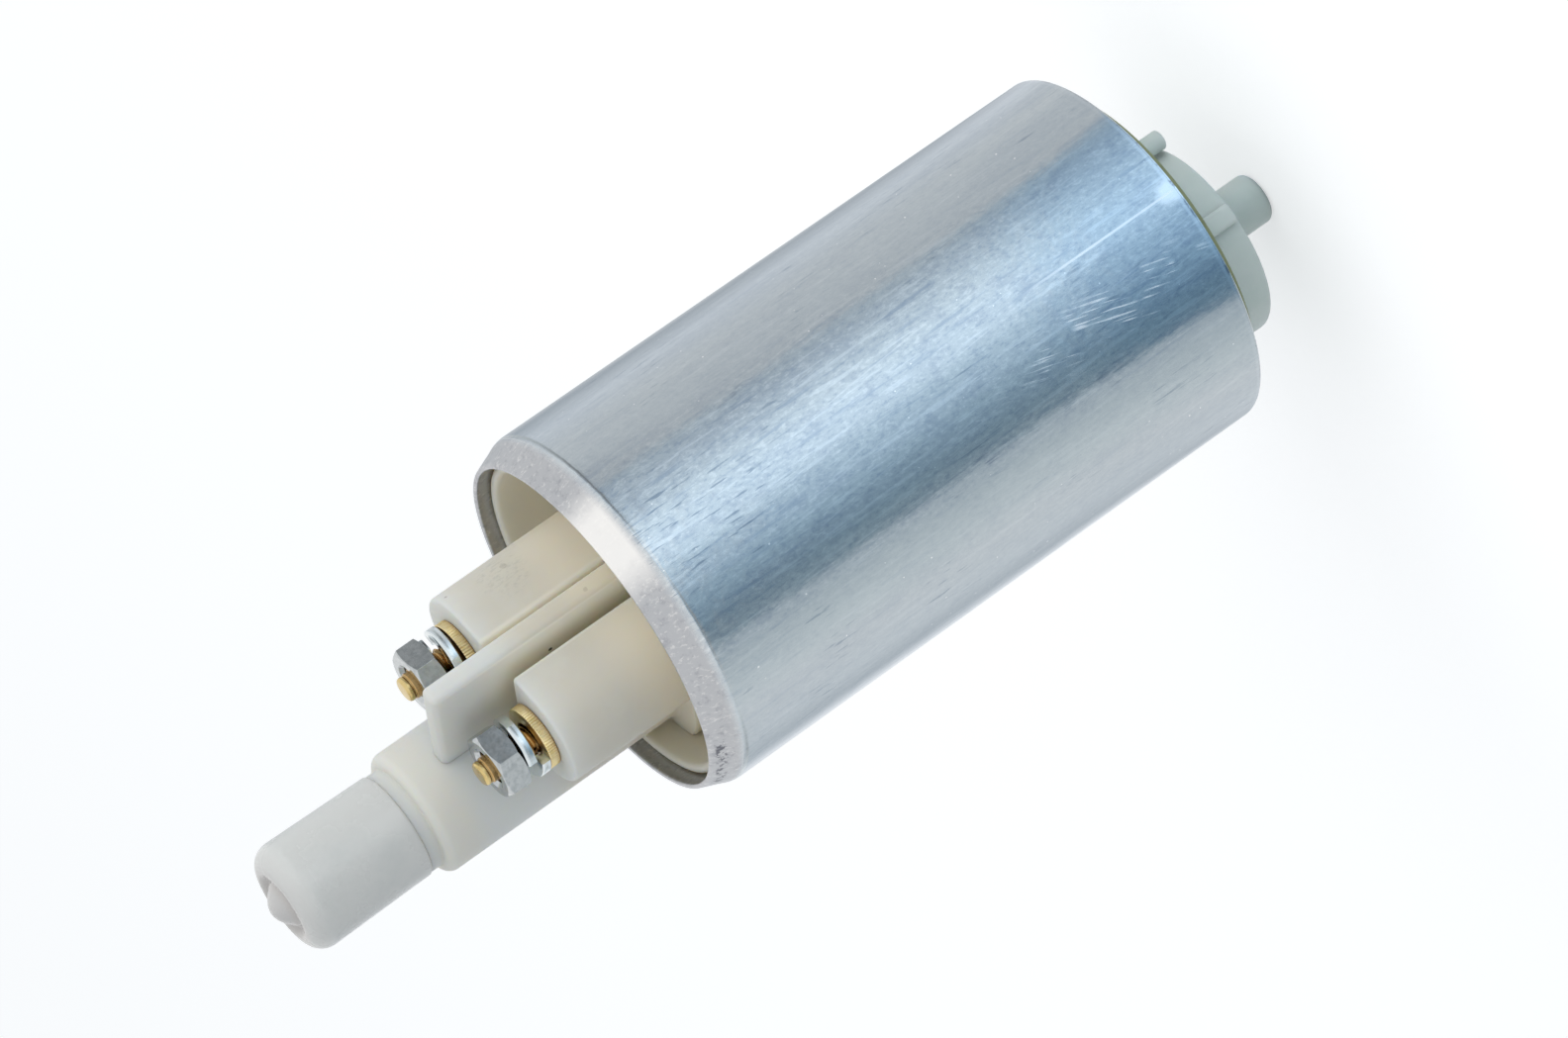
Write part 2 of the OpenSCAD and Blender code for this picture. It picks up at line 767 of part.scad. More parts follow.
// Insulators: a ring on each end of the core, with a sleeve round the shaft
module slot_insulators() {
    color("darkolivegreen") {
        translate([0, 0, z_core_high]) linear_extrude(insulator_t) core_2d(core_r - 0.3);
        translate([0, 0, z_core_low - insulator_t]) linear_extrude(insulator_t) core_2d(core_r - 0.3);
        ring(hub_r, shaft_r, z_motor + 0.1 + thrust_t, z_core_low - insulator_t + tiny);
        ring(hub_r, shaft_r, z_core_high + insulator_t - tiny, z_turns_high);
    }
}

// Windings: a bundle through every slot, joined by rounded end turns
module armature_windings() {
    wire_r = slot_r - 0.1;
    turn_in = hub_r + 0.3;
    turn_out = slot_ring_r + wire_r;
    color("peru") {
        for (i = [0:slots - 1])
            rotate((i + 0.5) * 360 / slots)
                translate([slot_ring_r, 0, 0])
                    bar(wire_r, z_core_low - insulator_t - 0.5, z_core_high + insulator_t + 0.5);
        for (z = [z_core_low - insulator_t - end_turn_t, z_core_high + insulator_t])
            rotate_extrude()
                polygon([[turn_in, z],
                         [turn_out - 0.7, z],
                         [turn_out, z + 0.7],
                         [turn_out, z + end_turn_t - 0.7],
                         [turn_out - 0.7, z + end_turn_t],
                         [turn_in, z + end_turn_t]]);
    }
}

module commutator_hub() {
    color("saddlebrown")
        ring(commutator_d / 2 - 0.3, shaft_r, z_turns_high, z_bars - bars_t);
}

module commutator_bars() {
    bar_gap = 0.6;
    color("chocolate")
        translate([0, 0, z_bars - bars_t])
            linear_extrude(bars_t)
                difference() {
                    circle(d = commutator_d);
                    circle(r = shaft_r + 0.8);
                    for (i = [0:slots - 1])
                        rotate(i * 360 / slots)
                            translate([0, -bar_gap / 2]) square([commutator_d, bar_gap]);
                }
}

module brush() {
    color("darkslategray")
        translate([-brush_x / 2, -brush_y / 2, z_brush]) cube([brush_x, brush_y, brush_len]);
}

module positive_brush() {
    translate([stud_x, 0, 0]) brush();
}

module negative_brush() {
    translate([-stud_x, 0, 0]) brush();
}

module brush_spring() {
    color("lightgray") coil_spring(brush_spring_r, brush_wire_r, z_brush_top, z_spring_top, 9);
}

module positive_brush_spring() {
    translate([stud_x, 0, 0]) brush_spring();
}

module negative_brush_spring() {
    translate([-stud_x, 0, 0]) brush_spring();
}

module brush_lead() {
    color("darkgoldenrod") bar(lead_r, z_brush_top + tiny, z_spring_top - tiny);
}

module positive_brush_lead() {
    translate([stud_x, 0, 0]) brush_lead();
}

module negative_brush_lead() {
    translate([-stud_x, 0, 0]) brush_lead();
}

module upper_bearing() {
    color("burlywood") ring(journal_r + bearing_wall, journal_r + run, z_web, z_web + upper_bearing_t - tiny);
}

module lower_bearing() {
    color("burlywood") ring(shaft_r + lower_bearing_wall, shaft_r + run, z_plate + 0.3, z_motor);
}

// Thrust washers: on the shaft's shoulder at the top, under the lower insulator's sleeve
module thrust_washers() {
    color("lightgray") {
        ring(shaft_r + 0.5, journal_r + seat, z_journal, z_journal + thrust_t);
        ring(hub_r, shaft_r + seat, z_motor + 0.1, z_motor + 0.1 + thrust_t);
    }
}

// Port in a plate, over the chambers on one side of the rotors
module port_2d() {
    arc_2d(port_mid_r + port_w / 2, port_mid_r - port_w / 2, 124);
}

// Cuts for the screws: a clear hole all the way, and a sunk head at the top
module screw_cuts(hole_r, z0, z1) {
    for (a = screw_angles)
        rotate(a) translate([screw_circle_r, 0, 0]) bar(hole_r, z0, z1);
}

screw_r = 1.25;
screw_head_r = 2.2;
screw_head_t = 1.4;

module bearing_plate() {
    color("darkgray")
        difference() {
            bar(fit_r, z_plate, z_motor);
            bar(shaft_r + lower_bearing_wall + seat, z_plate + 0.3, z_motor + 1);
            bar(shaft_r + 0.5, z_plate - 1, z_motor);
            translate([0, 0, z_plate - 1])
                linear_extrude(bearing_plate_t + 2) rotate(180) port_2d();
            screw_cuts(screw_r + seat, z_plate - 1, z_motor + 1);
            screw_cuts(screw_head_r + seat, z_motor - screw_head_t, z_motor + 1);
        }
}

module rotor_ring() {
    color("gray")
        difference() {
            bar(fit_r, z_ring, z_plate);
            translate([0, rotor_offset, 0]) bar(rotor_r + seat, z_ring - 1, z_plate + 1);
            screw_cuts(screw_r + seat, z_ring - 1, z_plate + 1);
        }
}

module port_plate() {
    color("darkgray")
        difference() {
            bar(fit_r, z_port, z_ring);
            translate([0, 0, z_port - 1])
                linear_extrude(port_plate_t + 2) port_2d();
            screw_cuts(screw_r, z_port + 0.8, z_ring + 1);
        }
}

module plate_screws() {
    color("silver")
        for (a = screw_angles)
            rotate(a)
                translate([screw_circle_r, 0, 0])
                    difference() {
                        union() {
                            bar(screw_r, z_port + 1, z_motor - screw_head_t / 2);
                            bar(screw_head_r, z_motor - screw_head_t, z_motor - 0.1);
                        }
                        translate([0, 0, z_motor - 0.8]) cylinder(r = 1, h = 1, $fn = 6);
                    }
}

// Outer rotor: a ring whose round teeth are struck from one circle
module outer_rotor() {
    color("dimgray")
        translate([0, rotor_offset, z_ring + rotor_gap])
            linear_extrude(ring_t - 2 * rotor_gap)
                difference() {
                    circle(r = rotor_r);
                    difference() {
                        circle(r = tooth_root_r);
                        for (i = [0:teeth - 1])
                            rotate(90 + i * 360 / teeth) translate([tooth_circle_r, 0]) circle(r = tooth_r);
                    }
                }
}

// Inner rotor: the curve that rolls inside the outer rotor's round teeth.
// A tooth's centre runs on this path, seen from the inner rotor.
function tooth_path(t) = [tooth_circle_r * cos(t) + rotor_offset * cos(teeth * t),
                          tooth_circle_r * sin(t) + rotor_offset * sin(teeth * t)];
function path_slope(t) = [-tooth_circle_r * sin(t) - rotor_offset * teeth * sin(teeth * t),
                          tooth_circle_r * cos(t) + rotor_offset * teeth * cos(teeth * t)];
// The rotor's face lies one tooth radius and the running gap inside that path
function lobe_point(t) =
    let (p = tooth_path(t),
         d = path_slope(t),
         n = [d[1], -d[0]] / norm(d))
    p - (tooth_r + mesh) * n;

// Points crowd together in the valleys, where the face turns sharply
function crowded(k) = k + 0.93 / (2 * PI) * sin(360 * k);

module inner_rotor() {
    face = [for (i = [0:lobes - 1]) for (j = [0:points_per_lobe - 1])
        lobe_point((i + crowded(j / points_per_lobe)) * 360 / lobes)];
    color("silver")
        translate([0, 0, z_ring + rotor_gap])
            linear_extrude(ring_t - 2 * rotor_gap)
                difference() {
                    rotate(90) polygon(face);
                    circle(d = coupling_d + 2 * seat);
                    square([dog_len + 2 * seat, dog_w + 2 * seat], center = true);
                }
}

// Coupling: a ring on the shaft's flats, with two dogs in the inner rotor's slots
dog_w = 2.6;
dog_len = coupling_d + 3;

module drive_coupling() {
    color("navajowhite")
        translate([0, 0, z_ring + 0.2])
            linear_extrude(ring_t - 0.6)
                difference() {
                    union() {
                        circle(d = coupling_d);
                        square([dog_len, dog_w], center = true);
                    }
                    intersection() {
                        circle(r = shaft_r + seat / 2);
                        square([2 * shaft_r * 0.72 + seat, 2 * shaft_d], center = true);
                    }
                }
}

module check_valve_seat() {
    color("goldenrod")
        translate([0, outlet_y, 0])
            difference() {
                bar(chamber_bore_r, z_check_seat, z_check_seat + check_seat_t);
                bar(check_hole_r, z_check_seat - 1, z_check_seat + check_seat_t + 1);
            }
}

// Poppet: a flat head with a nose in the seat and a stem in the guide
module check_valve_poppet() {
    color("seashell")
        translate([0, outlet_y, 0])
            rotate_extrude()
                polygon([[0, z_check_head - 1.6],
                         [check_hole_r - 1, z_check_head - 1.6],
                         [check_hole_r - 0.3, z_check_head],
                         [check_head_r, z_check_head],
                         [check_head_r, z_check_spring - 0.6],
                         [check_head_r - 0.4, z_check_spring],
                         [check_stem_r, z_check_spring],
                         [check_stem_r, z_check_guide + 1],
                         [0, z_check_guide + 1]]);
}

module check_valve_spring() {
    color("lightgray")
        translate([0, outlet_y, 0]) coil_spring(check_spring_r, 0.25, z_check_spring, z_check_guide, 6);
}

// Guide: a rim, a hub round the poppet's stem and three arms between them
module check_valve_guide() {
    z1 = z_check_guide + check_guide_t - tiny;
    color("seashell")
        translate([0, outlet_y, 0]) {
            ring(chamber_bore_r - seat, chamber_bore_r - 0.9, z_check_guide, z1);
            difference() {
                union() {
                    bar(check_spring_r + 0.4, z_check_guide, z1);
                    for (a = [0, 120, 240])
                        rotate(a)
                            translate([0, -0.5, z_check_guide])
                                cube([chamber_bore_r - 0.5, 1, z1 - z_check_guide]);
                }
                bar(check_stem_r + 0.1, z_check_guide - 1, z1 + 1);
            }
        }
}

module relief_valve_seat() {
    color("goldenrod")
        translate([0, relief_y, 0])
            difference() {
                bar(relief_r, z_web, z_web + relief_seat_t);
                bar(relief_hole_r, z_web - 1, z_web + relief_seat_t + 1);
            }
}

module relief_valve_ball() {
    color("silver") translate([0, relief_y, z_ball]) sphere(r = ball_r, $fn = 48);
}

module relief_valve_spring() {
    color("lightgray")
        translate([0, relief_y, 0]) coil_spring(ball_r - 0.5, 0.2, z_ball + ball_r * 0.82, z_relief_roof, 3.5);
}

can();
outlet_cover();
outlet_cap();
positive_stud();
negative_stud();
contact_discs();
spring_washers();
terminal_nuts();
inlet_cover();
inlet_seal();
outlet_seal();
magnet_north();
magnet_south();
magnet_clips();
motor_shaft();
armature_core();
slot_insulators();
armature_windings();
commutator_hub();
commutator_bars();
positive_brush();
negative_brush();
positive_brush_spring();
negative_brush_spring();
positive_brush_lead();
negative_brush_lead();
upper_bearing();
lower_bearing();
thrust_washers();
bearing_plate();
rotor_ring();
outer_rotor();
inner_rotor();
drive_coupling();
port_plate();
plate_screws();
check_valve_seat();
check_valve_poppet();
check_valve_spring();
check_valve_guide();
relief_valve_seat();
relief_valve_ball();
relief_valve_spring();
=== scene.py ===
import json
import math
from contextlib import contextmanager

import bpy
from mathutils import Matrix, Vector


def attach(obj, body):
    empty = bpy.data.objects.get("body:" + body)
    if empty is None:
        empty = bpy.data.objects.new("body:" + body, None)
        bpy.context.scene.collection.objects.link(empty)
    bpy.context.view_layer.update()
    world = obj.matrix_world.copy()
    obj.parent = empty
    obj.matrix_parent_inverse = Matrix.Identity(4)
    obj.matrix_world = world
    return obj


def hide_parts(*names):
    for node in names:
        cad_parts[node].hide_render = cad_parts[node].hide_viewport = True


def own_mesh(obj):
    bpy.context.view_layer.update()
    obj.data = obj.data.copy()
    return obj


# In-tank fuel pump. All sizes below are in millimetres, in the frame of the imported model:
# +Z is the pump's axis towards the outlet, +X runs from the negative to the positive stud,
# and the outlet tube stands on the -Y side.

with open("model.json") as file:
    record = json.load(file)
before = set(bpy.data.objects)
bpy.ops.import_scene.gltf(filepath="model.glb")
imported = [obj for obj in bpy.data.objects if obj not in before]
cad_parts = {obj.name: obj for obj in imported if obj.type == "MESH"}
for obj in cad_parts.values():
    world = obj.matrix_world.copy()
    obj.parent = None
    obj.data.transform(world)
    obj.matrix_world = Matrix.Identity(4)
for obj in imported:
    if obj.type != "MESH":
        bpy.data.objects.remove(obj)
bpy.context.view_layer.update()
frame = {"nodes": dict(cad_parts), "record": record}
MM = 0.001

# Can
CAN_R, CAN_WALL, Z_FOOT, Z_WALL, Z_LIP, LIP_R = 21.5, 1.5, -35.0, 35.0, 38.2, 19.6
BORE_R, FOOT_R = CAN_R - CAN_WALL, 19.0
FOOT_ROUND, BEND_R, BEND_TURN, LIP_ROUND = 0.55, 3.2, 29, 0.3
SCRATCH_AT, GLINT_AT, STROKES_AT = -2.5, (7.4, 20.2, -34.0), (13.3, 16.9, -21.0)

# Outlet cover: its skirt, cup, towers, wall, tube and nozzle
COVER_R, SKIRT_R, Z_SKIRT, Z_WEB = 19.9, 17.4, 12.0, 20.0
GROOVE_R, Z_GROOVE, Z_GROOVE_TOP = 18.0, 25.6, 28.0
CUP_R, CUP_RIM_T, Z_RIM, Z_CUP = 19.4, 1.1, 36.6, 29.6
CUP_BORE_R = CUP_R - CUP_RIM_T
STUD_X, TOWER_R, TOWER_FLAT, Z_TOWER = 6.5, 6.15, 2.6, 49.8
WALL_T, WALL_Y, Z_TOP = 2.4, 8.4, 58.5
TUBE_R, TUBE_Y, Z_COLLAR = 7.3, -11.5, 63.1
NECK_R, Z_NECK, NOZZLE_R, Z_NOZZLE = 6.0, 64.5, 4.5, 77.2
# Towers, wall and tube reach down to here in the cup's floor
Z_ROOT = Z_CUP - 0.6

# Rooms in the outlet cover
GUIDE_X, GUIDE_Y, Z_GUIDE = 2.6, 3.1, 29.55
SPRING_ROOM_R, Z_SPRING, Z_HEAD, HEAD_T, STUD_HOLE_R = 3.1, 26.05, 45.8, 2.0, 2.0
VALVE_R, VALVE_GUIDE_R, Z_VALVE_GUIDE, NOZZLE_BORE_R, Z_NOZZLE_BORE = 4.6, 3.6, 49.0, 2.5, 55.0
RELIEF_Y, RELIEF_R, Z_RELIEF, VENT_R, Z_VENT = 12.2, 2.7, 28.4, 0.8, 30.6
BUSH_R, Z_BUSH, SHAFT_HOLE_R, Z_SHAFT_HOLE = 3.3, 25.0, 2.3, 26.5

# Transport cap
CAP_ROOT_R, Z_CAP, Z_CAP_RIM, CAP_BORE_R, CAP_END_T = 6.15, 64.6, 79.5, 4.55, 1.4
CAP_ROOT_ROUND, CAP_ROUND, CAP_CREST_R = 0.22, 2.3, 4.05

# Terminals: every other edge of a disc's knurl lies at KNURL_SHARE of its radius
DISC_R, Z_DISC, KNURLS, KNURL_SHARE = 3.7, 51.0, 72, 0.975
WASHER_IN, WASHER_OUT, WASHER_T, WASHER_CLIMB, WASHER_SPLIT = 2.2, 3.8, 1.1, 1.4, 12
Z_WASHER, Z_NUT, Z_STUD, NUT_FLAT, TERMINAL_HOLE_R, SINK_R = 53.5, 56.4, 57.6, 3.5, 2.05, 2.45
THREAD_R, THREAD_PITCH, THREAD_DEPTH, TIP_R = 1.80, 0.7, 0.40, 1.4
Z_THREAD, Z_TIP = 45.05, Z_STUD - 0.85
# How far each terminal's stud, washer and nut are turned, in degrees, as the photo shows them
STUD_TURNS, WASHER_TURNS, NUT_TURNS = (20, 160), (20, 175), (29, -14)

# Inlet cover and its seal
BOSS_X, BOSS_R, Z_BOSS, POST_X, POST_R, Z_POST = 3.7, 11.5, -41.8, 3.4, 2.95, -49.7
Z_FACE, REGISTER_R, Z_REGISTER, Z_INLET_TOP = -35.8, 18.05, -33.5, -31.0
WINDOW_R, WINDOW_HALF = 6.18, 1.8
PEG_R, Z_PEG, PEG_TURN, KEY_HALF, KEY_TURN = 1.15, -41.7, 122, 1.15, 65
SEAL_IN, SEAL_OUT, Z_SEAL = 18.1, 18.95, -36.05

# Springs: where those of the valves stand
Z_POPPET, Z_CHECK_TOP, Z_BALL_TOP = 36.51, 46.51, 24.96

# Seen along the pump's axis, the viewer stands this many degrees from +Y towards +X
VIEW_TURN = 27


# Modelling steps, as done by hand in edit mode

def clear_selection():
    if bpy.context.mode != "OBJECT":
        bpy.ops.object.mode_set(mode="OBJECT")
    bpy.ops.object.select_all(action="DESELECT")


def take(piece):
    clear_selection()
    bpy.context.view_layer.objects.active = piece
    piece.select_set(True)


@contextmanager
def editing(piece, everything=True):
    """Edit mode on one piece, with all of it selected or with the selection it has."""
    take(piece)
    bpy.ops.object.mode_set(mode="EDIT")
    if everything:
        bpy.ops.mesh.select_all(action="SELECT")
    yield
    bpy.ops.object.mode_set(mode="OBJECT")


def merge_and_face_out(gap):
    bpy.ops.mesh.select_all(action="SELECT")
    bpy.ops.mesh.remove_doubles(threshold=gap)
    bpy.ops.mesh.normals_make_consistent(inside=False)


def settle(piece, name):
    """Name a fresh piece and put its place into its mesh."""
    take(piece)
    piece.name = piece.data.name = name
    bpy.ops.object.transform_apply(location=True, rotation=True, scale=True)
    return piece


def place(piece, at, turn):
    """Turn a piece about the Z axis, in degrees, then move it to at."""
    spot = Matrix.Translation((at[0] * MM, at[1] * MM, 0))
    piece.matrix_world = spot @ Matrix.Rotation(math.radians(turn), 4, "Z")
    return settle(piece, piece.name)


def arc(centre_r, centre_z, radius, start, end, count):
    """Points of an arc in an outline, from start to end in degrees."""
    turns = [math.radians(start + (end - start) * i / count) for i in range(count + 1)]
    return [(centre_r + radius * math.cos(turn), centre_z + radius * math.sin(turn)) for turn in turns]


def supported(outline):
    """The outline with a point close to both ends of each long line, so that shading stays true along it."""
    points, near = [outline[0]], 0.3
    for (r0, z0), (r1, z1) in zip(outline, outline[1:]):
        length = math.hypot(r1 - r0, z1 - z0)
        if length > 4 * near:
            for k in (near / length, 1 - near / length):
                points.append((r0 + (r1 - r0) * k, z0 + (z1 - z0) * k))
        points.append((r1, z1))
    return points


def draw_line(points, at=(0, 0)):
    """A line through (radius, height) points on the +X side of at; it is left in edit mode."""
    clear_selection()
    r, z = points[0]
    bpy.ops.mesh.primitive_plane_add(size=MM, location=((at[0] + r) * MM, at[1] * MM, z * MM))
    line = bpy.context.object
    bpy.ops.object.mode_set(mode="EDIT")
    bpy.ops.mesh.select_all(action="SELECT")
    bpy.ops.mesh.merge(type="CENTER")
    for (r0, z0), (r1, z1) in zip(points, points[1:]):
        step = ((r1 - r0) * MM, 0, (z1 - z0) * MM)
        bpy.ops.mesh.extrude_region_move(TRANSFORM_OT_translate={"value": step})
    return line


def turned(name, outline, steps, at=(0, 0), closed=True):
    """Turn an outline of (radius, height) points round the upright line through at."""
    outline = supported(outline)
    piece = draw_line(outline + [outline[0]] if closed else outline, at)
    bpy.ops.mesh.select_all(action="SELECT")
    bpy.ops.mesh.remove_doubles(threshold=1e-7)
    bpy.ops.mesh.spin(steps=steps, angle=2 * math.pi, center=(at[0] * MM, at[1] * MM, 0), axis=(0, 0, 1))
    merge_and_face_out(1.5e-6)
    bpy.ops.object.mode_set(mode="OBJECT")
    return settle(piece, name)


def upright_face(name, low, high):
    """A rectangle that stands on the XZ plane between two (radius, height) corners."""
    clear_selection()
    middle = ((low[0] + high[0]) / 2 * MM, 0, (low[1] + high[1]) / 2 * MM)
    bpy.ops.mesh.primitive_plane_add(size=1, location=middle, rotation=(math.pi / 2, 0, 0))
    face = bpy.context.object
    face.scale = ((high[0] - low[0]) * MM, (high[1] - low[1]) * MM, 1)
    return settle(face, name)


def part_turn(name, low, high, at, start, angle, steps):
    """Sweep a rectangle round part of a circle, and close its ends."""
    piece = upright_face(name, low, high)
    with editing(piece):
        bpy.ops.mesh.spin(steps=steps, angle=math.radians(angle), center=(0, 0, 0), axis=(0, 0, 1))
        merge_and_face_out(1e-6)
    return place(piece, at, start)


def swept(piece, turn, climb, steps):
    """An open outline carried round the Z axis while it climbs, closed at both ends."""
    sweep = piece.modifiers.new("sweep", "SCREW")
    sweep.angle, sweep.screw_offset = math.radians(turn), climb * MM
    sweep.steps = sweep.render_steps = steps
    apply_modifier(piece, sweep)
    with editing(piece, everything=False):
        bpy.ops.mesh.select_all(action="DESELECT")
        bpy.ops.mesh.select_non_manifold(extend=False)
        bpy.ops.mesh.fill()
        bpy.ops.mesh.select_all(action="SELECT")
        bpy.ops.mesh.normals_make_consistent(inside=False)
    return piece


def block(name, low, high):
    clear_selection()
    bpy.ops.mesh.primitive_cube_add(size=1, location=[(a + b) / 2 * MM for a, b in zip(low, high)],
                                    scale=[(b - a) * MM for a, b in zip(low, high)])
    return settle(bpy.context.object, name)


def round_bar(name, r, z0, z1, *, sides, at=(0, 0)):
    clear_selection()
    bpy.ops.mesh.primitive_cylinder_add(vertices=sides, radius=r * MM, depth=(z1 - z0) * MM,
                                        location=(at[0] * MM, at[1] * MM, (z0 + z1) / 2 * MM))
    return settle(bpy.context.object, name)


def bevel_edges(piece, wanted, width, segments):
    """Bevel the edges for which wanted(a, b) is true; a and b are their two ends in millimetres."""
    with editing(piece):
        bpy.ops.mesh.select_mode(type="EDGE")
        bpy.ops.mesh.select_all(action="DESELECT")
    mesh = piece.data
    for edge in mesh.edges:
        a, b = (mesh.vertices[i].co / MM for i in edge.vertices)
        edge.select = wanted(a, b)
    with editing(piece, everything=False):
        bpy.ops.mesh.bevel(offset=width * MM, segments=segments, affect="EDGES", clamp_overlap=True)
        bpy.ops.mesh.select_mode(type="VERT")


def apply_modifier(piece, modifier):
    take(piece)
    bpy.ops.object.modifier_apply(modifier=modifier.name)


def soften(piece, width, segments, angle=35):
    edges = piece.modifiers.new("soft edges", "BEVEL")
    edges.width, edges.segments = width * MM, segments
    edges.limit_method, edges.angle_limit = "ANGLE", math.radians(angle)
    apply_modifier(piece, edges)


def combine(piece, other, operation):
    cut = piece.modifiers.new("cut", "BOOLEAN")
    cut.operation, cut.solver, cut.object = operation, "EXACT", other
    apply_modifier(piece, cut)
    bpy.data.objects.remove(other, do_unlink=True)


def weld(piece):
    """Clear away the slivers that a cut or a bevel leaves."""
    with editing(piece):
        bpy.ops.mesh.remove_doubles(threshold=1e-6)
        bpy.ops.mesh.dissolve_degenerate(threshold=1e-6)
        bpy.ops.mesh.fill_holes(sides=0)
        bpy.ops.mesh.normals_make_consistent(inside=False)
    return piece


def smooth(piece, angle):
    take(piece)
    bpy.ops.object.shade_smooth_by_angle(angle=math.radians(angle))
    return piece


def copy_of(piece, name, turn, move=(0, 0, 0), about=(0, 0)):
    """A copy with its own mesh, turned about an upright line and moved, in millimetres and degrees."""
    twin = piece.copy()
    twin.data = piece.data.copy()
    bpy.context.collection.objects.link(twin)
    pivot = Matrix.Translation((about[0] * MM, about[1] * MM, 0))
    moved = Matrix.Translation([m * MM for m in move])
    twin.matrix_world = moved @ pivot @ Matrix.Rotation(math.radians(turn), 4, "Z") @ pivot.inverted()
    return settle(twin, name)


def joined(name, *pieces):
    clear_selection()
    for piece in pieces:
        piece.select_set(True)
    bpy.context.view_layer.objects.active = pieces[0]
    bpy.ops.object.join()
    return settle(pieces[0], name)


# Shader nodes

def node(tree, kind, settings=None, **sockets):
    """Add a node; each keyword is an input socket (underscores for blanks), given a value or a link."""
    made = tree.nodes.new(kind)
    for key, value in (settings or {}).items():
        setattr(made, key, value)
    for key, value in sockets.items():
        socket = made.inputs[int(key[1:])] if key[1:].isdigit() else made.inputs[key.replace("_", " ")]
        if isinstance(value, bpy.types.NodeSocket):
            tree.links.new(value, socket)
        else:
            socket.default_value = value
    return made


def maths(tree, operation, a, b=0.0, clamp=False):
    return node(tree, "ShaderNodeMath", {"operation": operation, "use_clamp": clamp}, _0=a, _1=b).outputs[0]


def times(tree, first, *others):
    """The product of several values or masks."""
    for other in others:
        first = maths(tree, "MULTIPLY", first, other)
    return first


def ramp(tree, value, low, high, out_low=0.0, out_high=1.0):
    """Map value from low..high to out_low..out_high, with soft ends."""
    return node(tree, "ShaderNodeMapRange", {"interpolation_type": "SMOOTHSTEP"}, Value=value, From_Min=low,
                From_Max=high, To_Min=out_low, To_Max=out_high).outputs[0]


def object_point(tree):
    return tree.nodes.new("ShaderNodeTexCoord").outputs["Object"]


def noise(tree, point, scale, detail=3.0, roughness=0.55, stretch=None):
    """Noise at a point, its spots drawn out along the axes whose stretch is below 1."""
    if stretch:
        point = node(tree, "ShaderNodeMapping", Vector=point, Scale=stretch).outputs[0]
    made = node(tree, "ShaderNodeTexNoise", Vector=point, Scale=scale, Detail=detail, Roughness=roughness)
    return made.outputs[0]


def turned_point(tree, point, angle):
    made = node(tree, "ShaderNodeVectorRotate", {"rotation_type": "Z_AXIS"}, Vector=point, Angle=angle)
    return made.outputs[0]


def length_of(tree, vector):
    return node(tree, "ShaderNodeVectorMath", {"operation": "LENGTH"}, _0=vector).outputs["Value"]


# Shader groups: effects that several finishes share

def group(name, inputs, outputs):
    tree = bpy.data.node_groups.new(name, "ShaderNodeTree")
    for label, value in inputs:
        socket = tree.interface.new_socket(name=label, in_out="INPUT", socket_type="NodeSocketFloat")
        socket.default_value = value
    for label in outputs:
        tree.interface.new_socket(name=label, in_out="OUTPUT", socket_type="NodeSocketFloat")
    return tree, tree.nodes.new("NodeGroupInput").outputs, tree.nodes.new("NodeGroupOutput").inputs


def make_drawn_metal():
    """Long streaks along Z, as deep drawing leaves them: broad tone bands and fine lines."""
    tree, ins, outs = group("drawn streaks", [("Density", 900.0), ("Twist", 4.0)], ["Bands", "Lines"])
    point = object_point(tree)
    height = node(tree, "ShaderNodeSeparateXYZ", Vector=point).outputs[2]
    point = turned_point(tree, point, times(tree, height, ins[1]))
    bands = noise(tree, point, times(tree, ins[0], 0.32), 5.0, 0.62, (1, 1, 0.10))
    lines = noise(tree, point, times(tree, ins[0], 2.6), 2.0, 0.5, (1, 1, 0.030))
    tree.links.new(bands, outs[0])
    tree.links.new(lines, outs[1])
    return tree


def make_mottle():
    """Cloudy patches and fine grain of one size."""
    tree, ins, outs = group("mottle", [("Scale", 200.0)], ["Clouds", "Grain"])
    point = object_point(tree)
    tree.links.new(noise(tree, point, ins[0], 4.0, 0.6), outs[0])
    tree.links.new(noise(tree, point, times(tree, ins[0], 11.0), 2.0, 0.5), outs[1])
    return tree


def make_specks():
    """Sparse dark specks: a dot in some cells, of uneven size."""
    tree, ins, outs = group("specks", [("Scale", 500.0), ("Share", 0.12), ("Size", 0.18)], ["Specks"])
    point = object_point(tree)
    wobble = noise(tree, point, times(tree, ins[0], 2.5), 2.0, 0.5)
    cells = node(tree, "ShaderNodeTexVoronoi", Vector=point, Scale=ins[0])
    pick = node(tree, "ShaderNodeSeparateColor", Color=cells.outputs["Color"])
    reach = times(tree, times(tree, ins[2], pick.outputs[1]), times(tree, wobble, 2.0))
    dot = maths(tree, "LESS_THAN", cells.outputs["Distance"], reach)
    few = maths(tree, "LESS_THAN", pick.outputs[0], ins[1])
    tree.links.new(times(tree, dot, few), outs[0])
    return tree


def make_worn_edge_and_sheen():
    """Where the surface turns sharply outwards, broken up by noise: edges worn bare, and partly a painted
    edge highlight.
    """
    tree, ins, outs = group("worn edge", [("Width", 0.5), ("Break", 900.0)], ["Edge"])
    point = object_point(tree)
    sharp = tree.nodes.new("ShaderNodeNewGeometry").outputs["Pointiness"]
    top = maths(tree, "ADD", 0.5, times(tree, ins[0], 0.1))
    rim = ramp(tree, sharp, 0.505, top)
    broken = ramp(tree, noise(tree, point, ins[1], 3.0, 0.6), 0.35, 0.6)
    tree.links.new(times(tree, rim, broken), outs[0])
    return tree


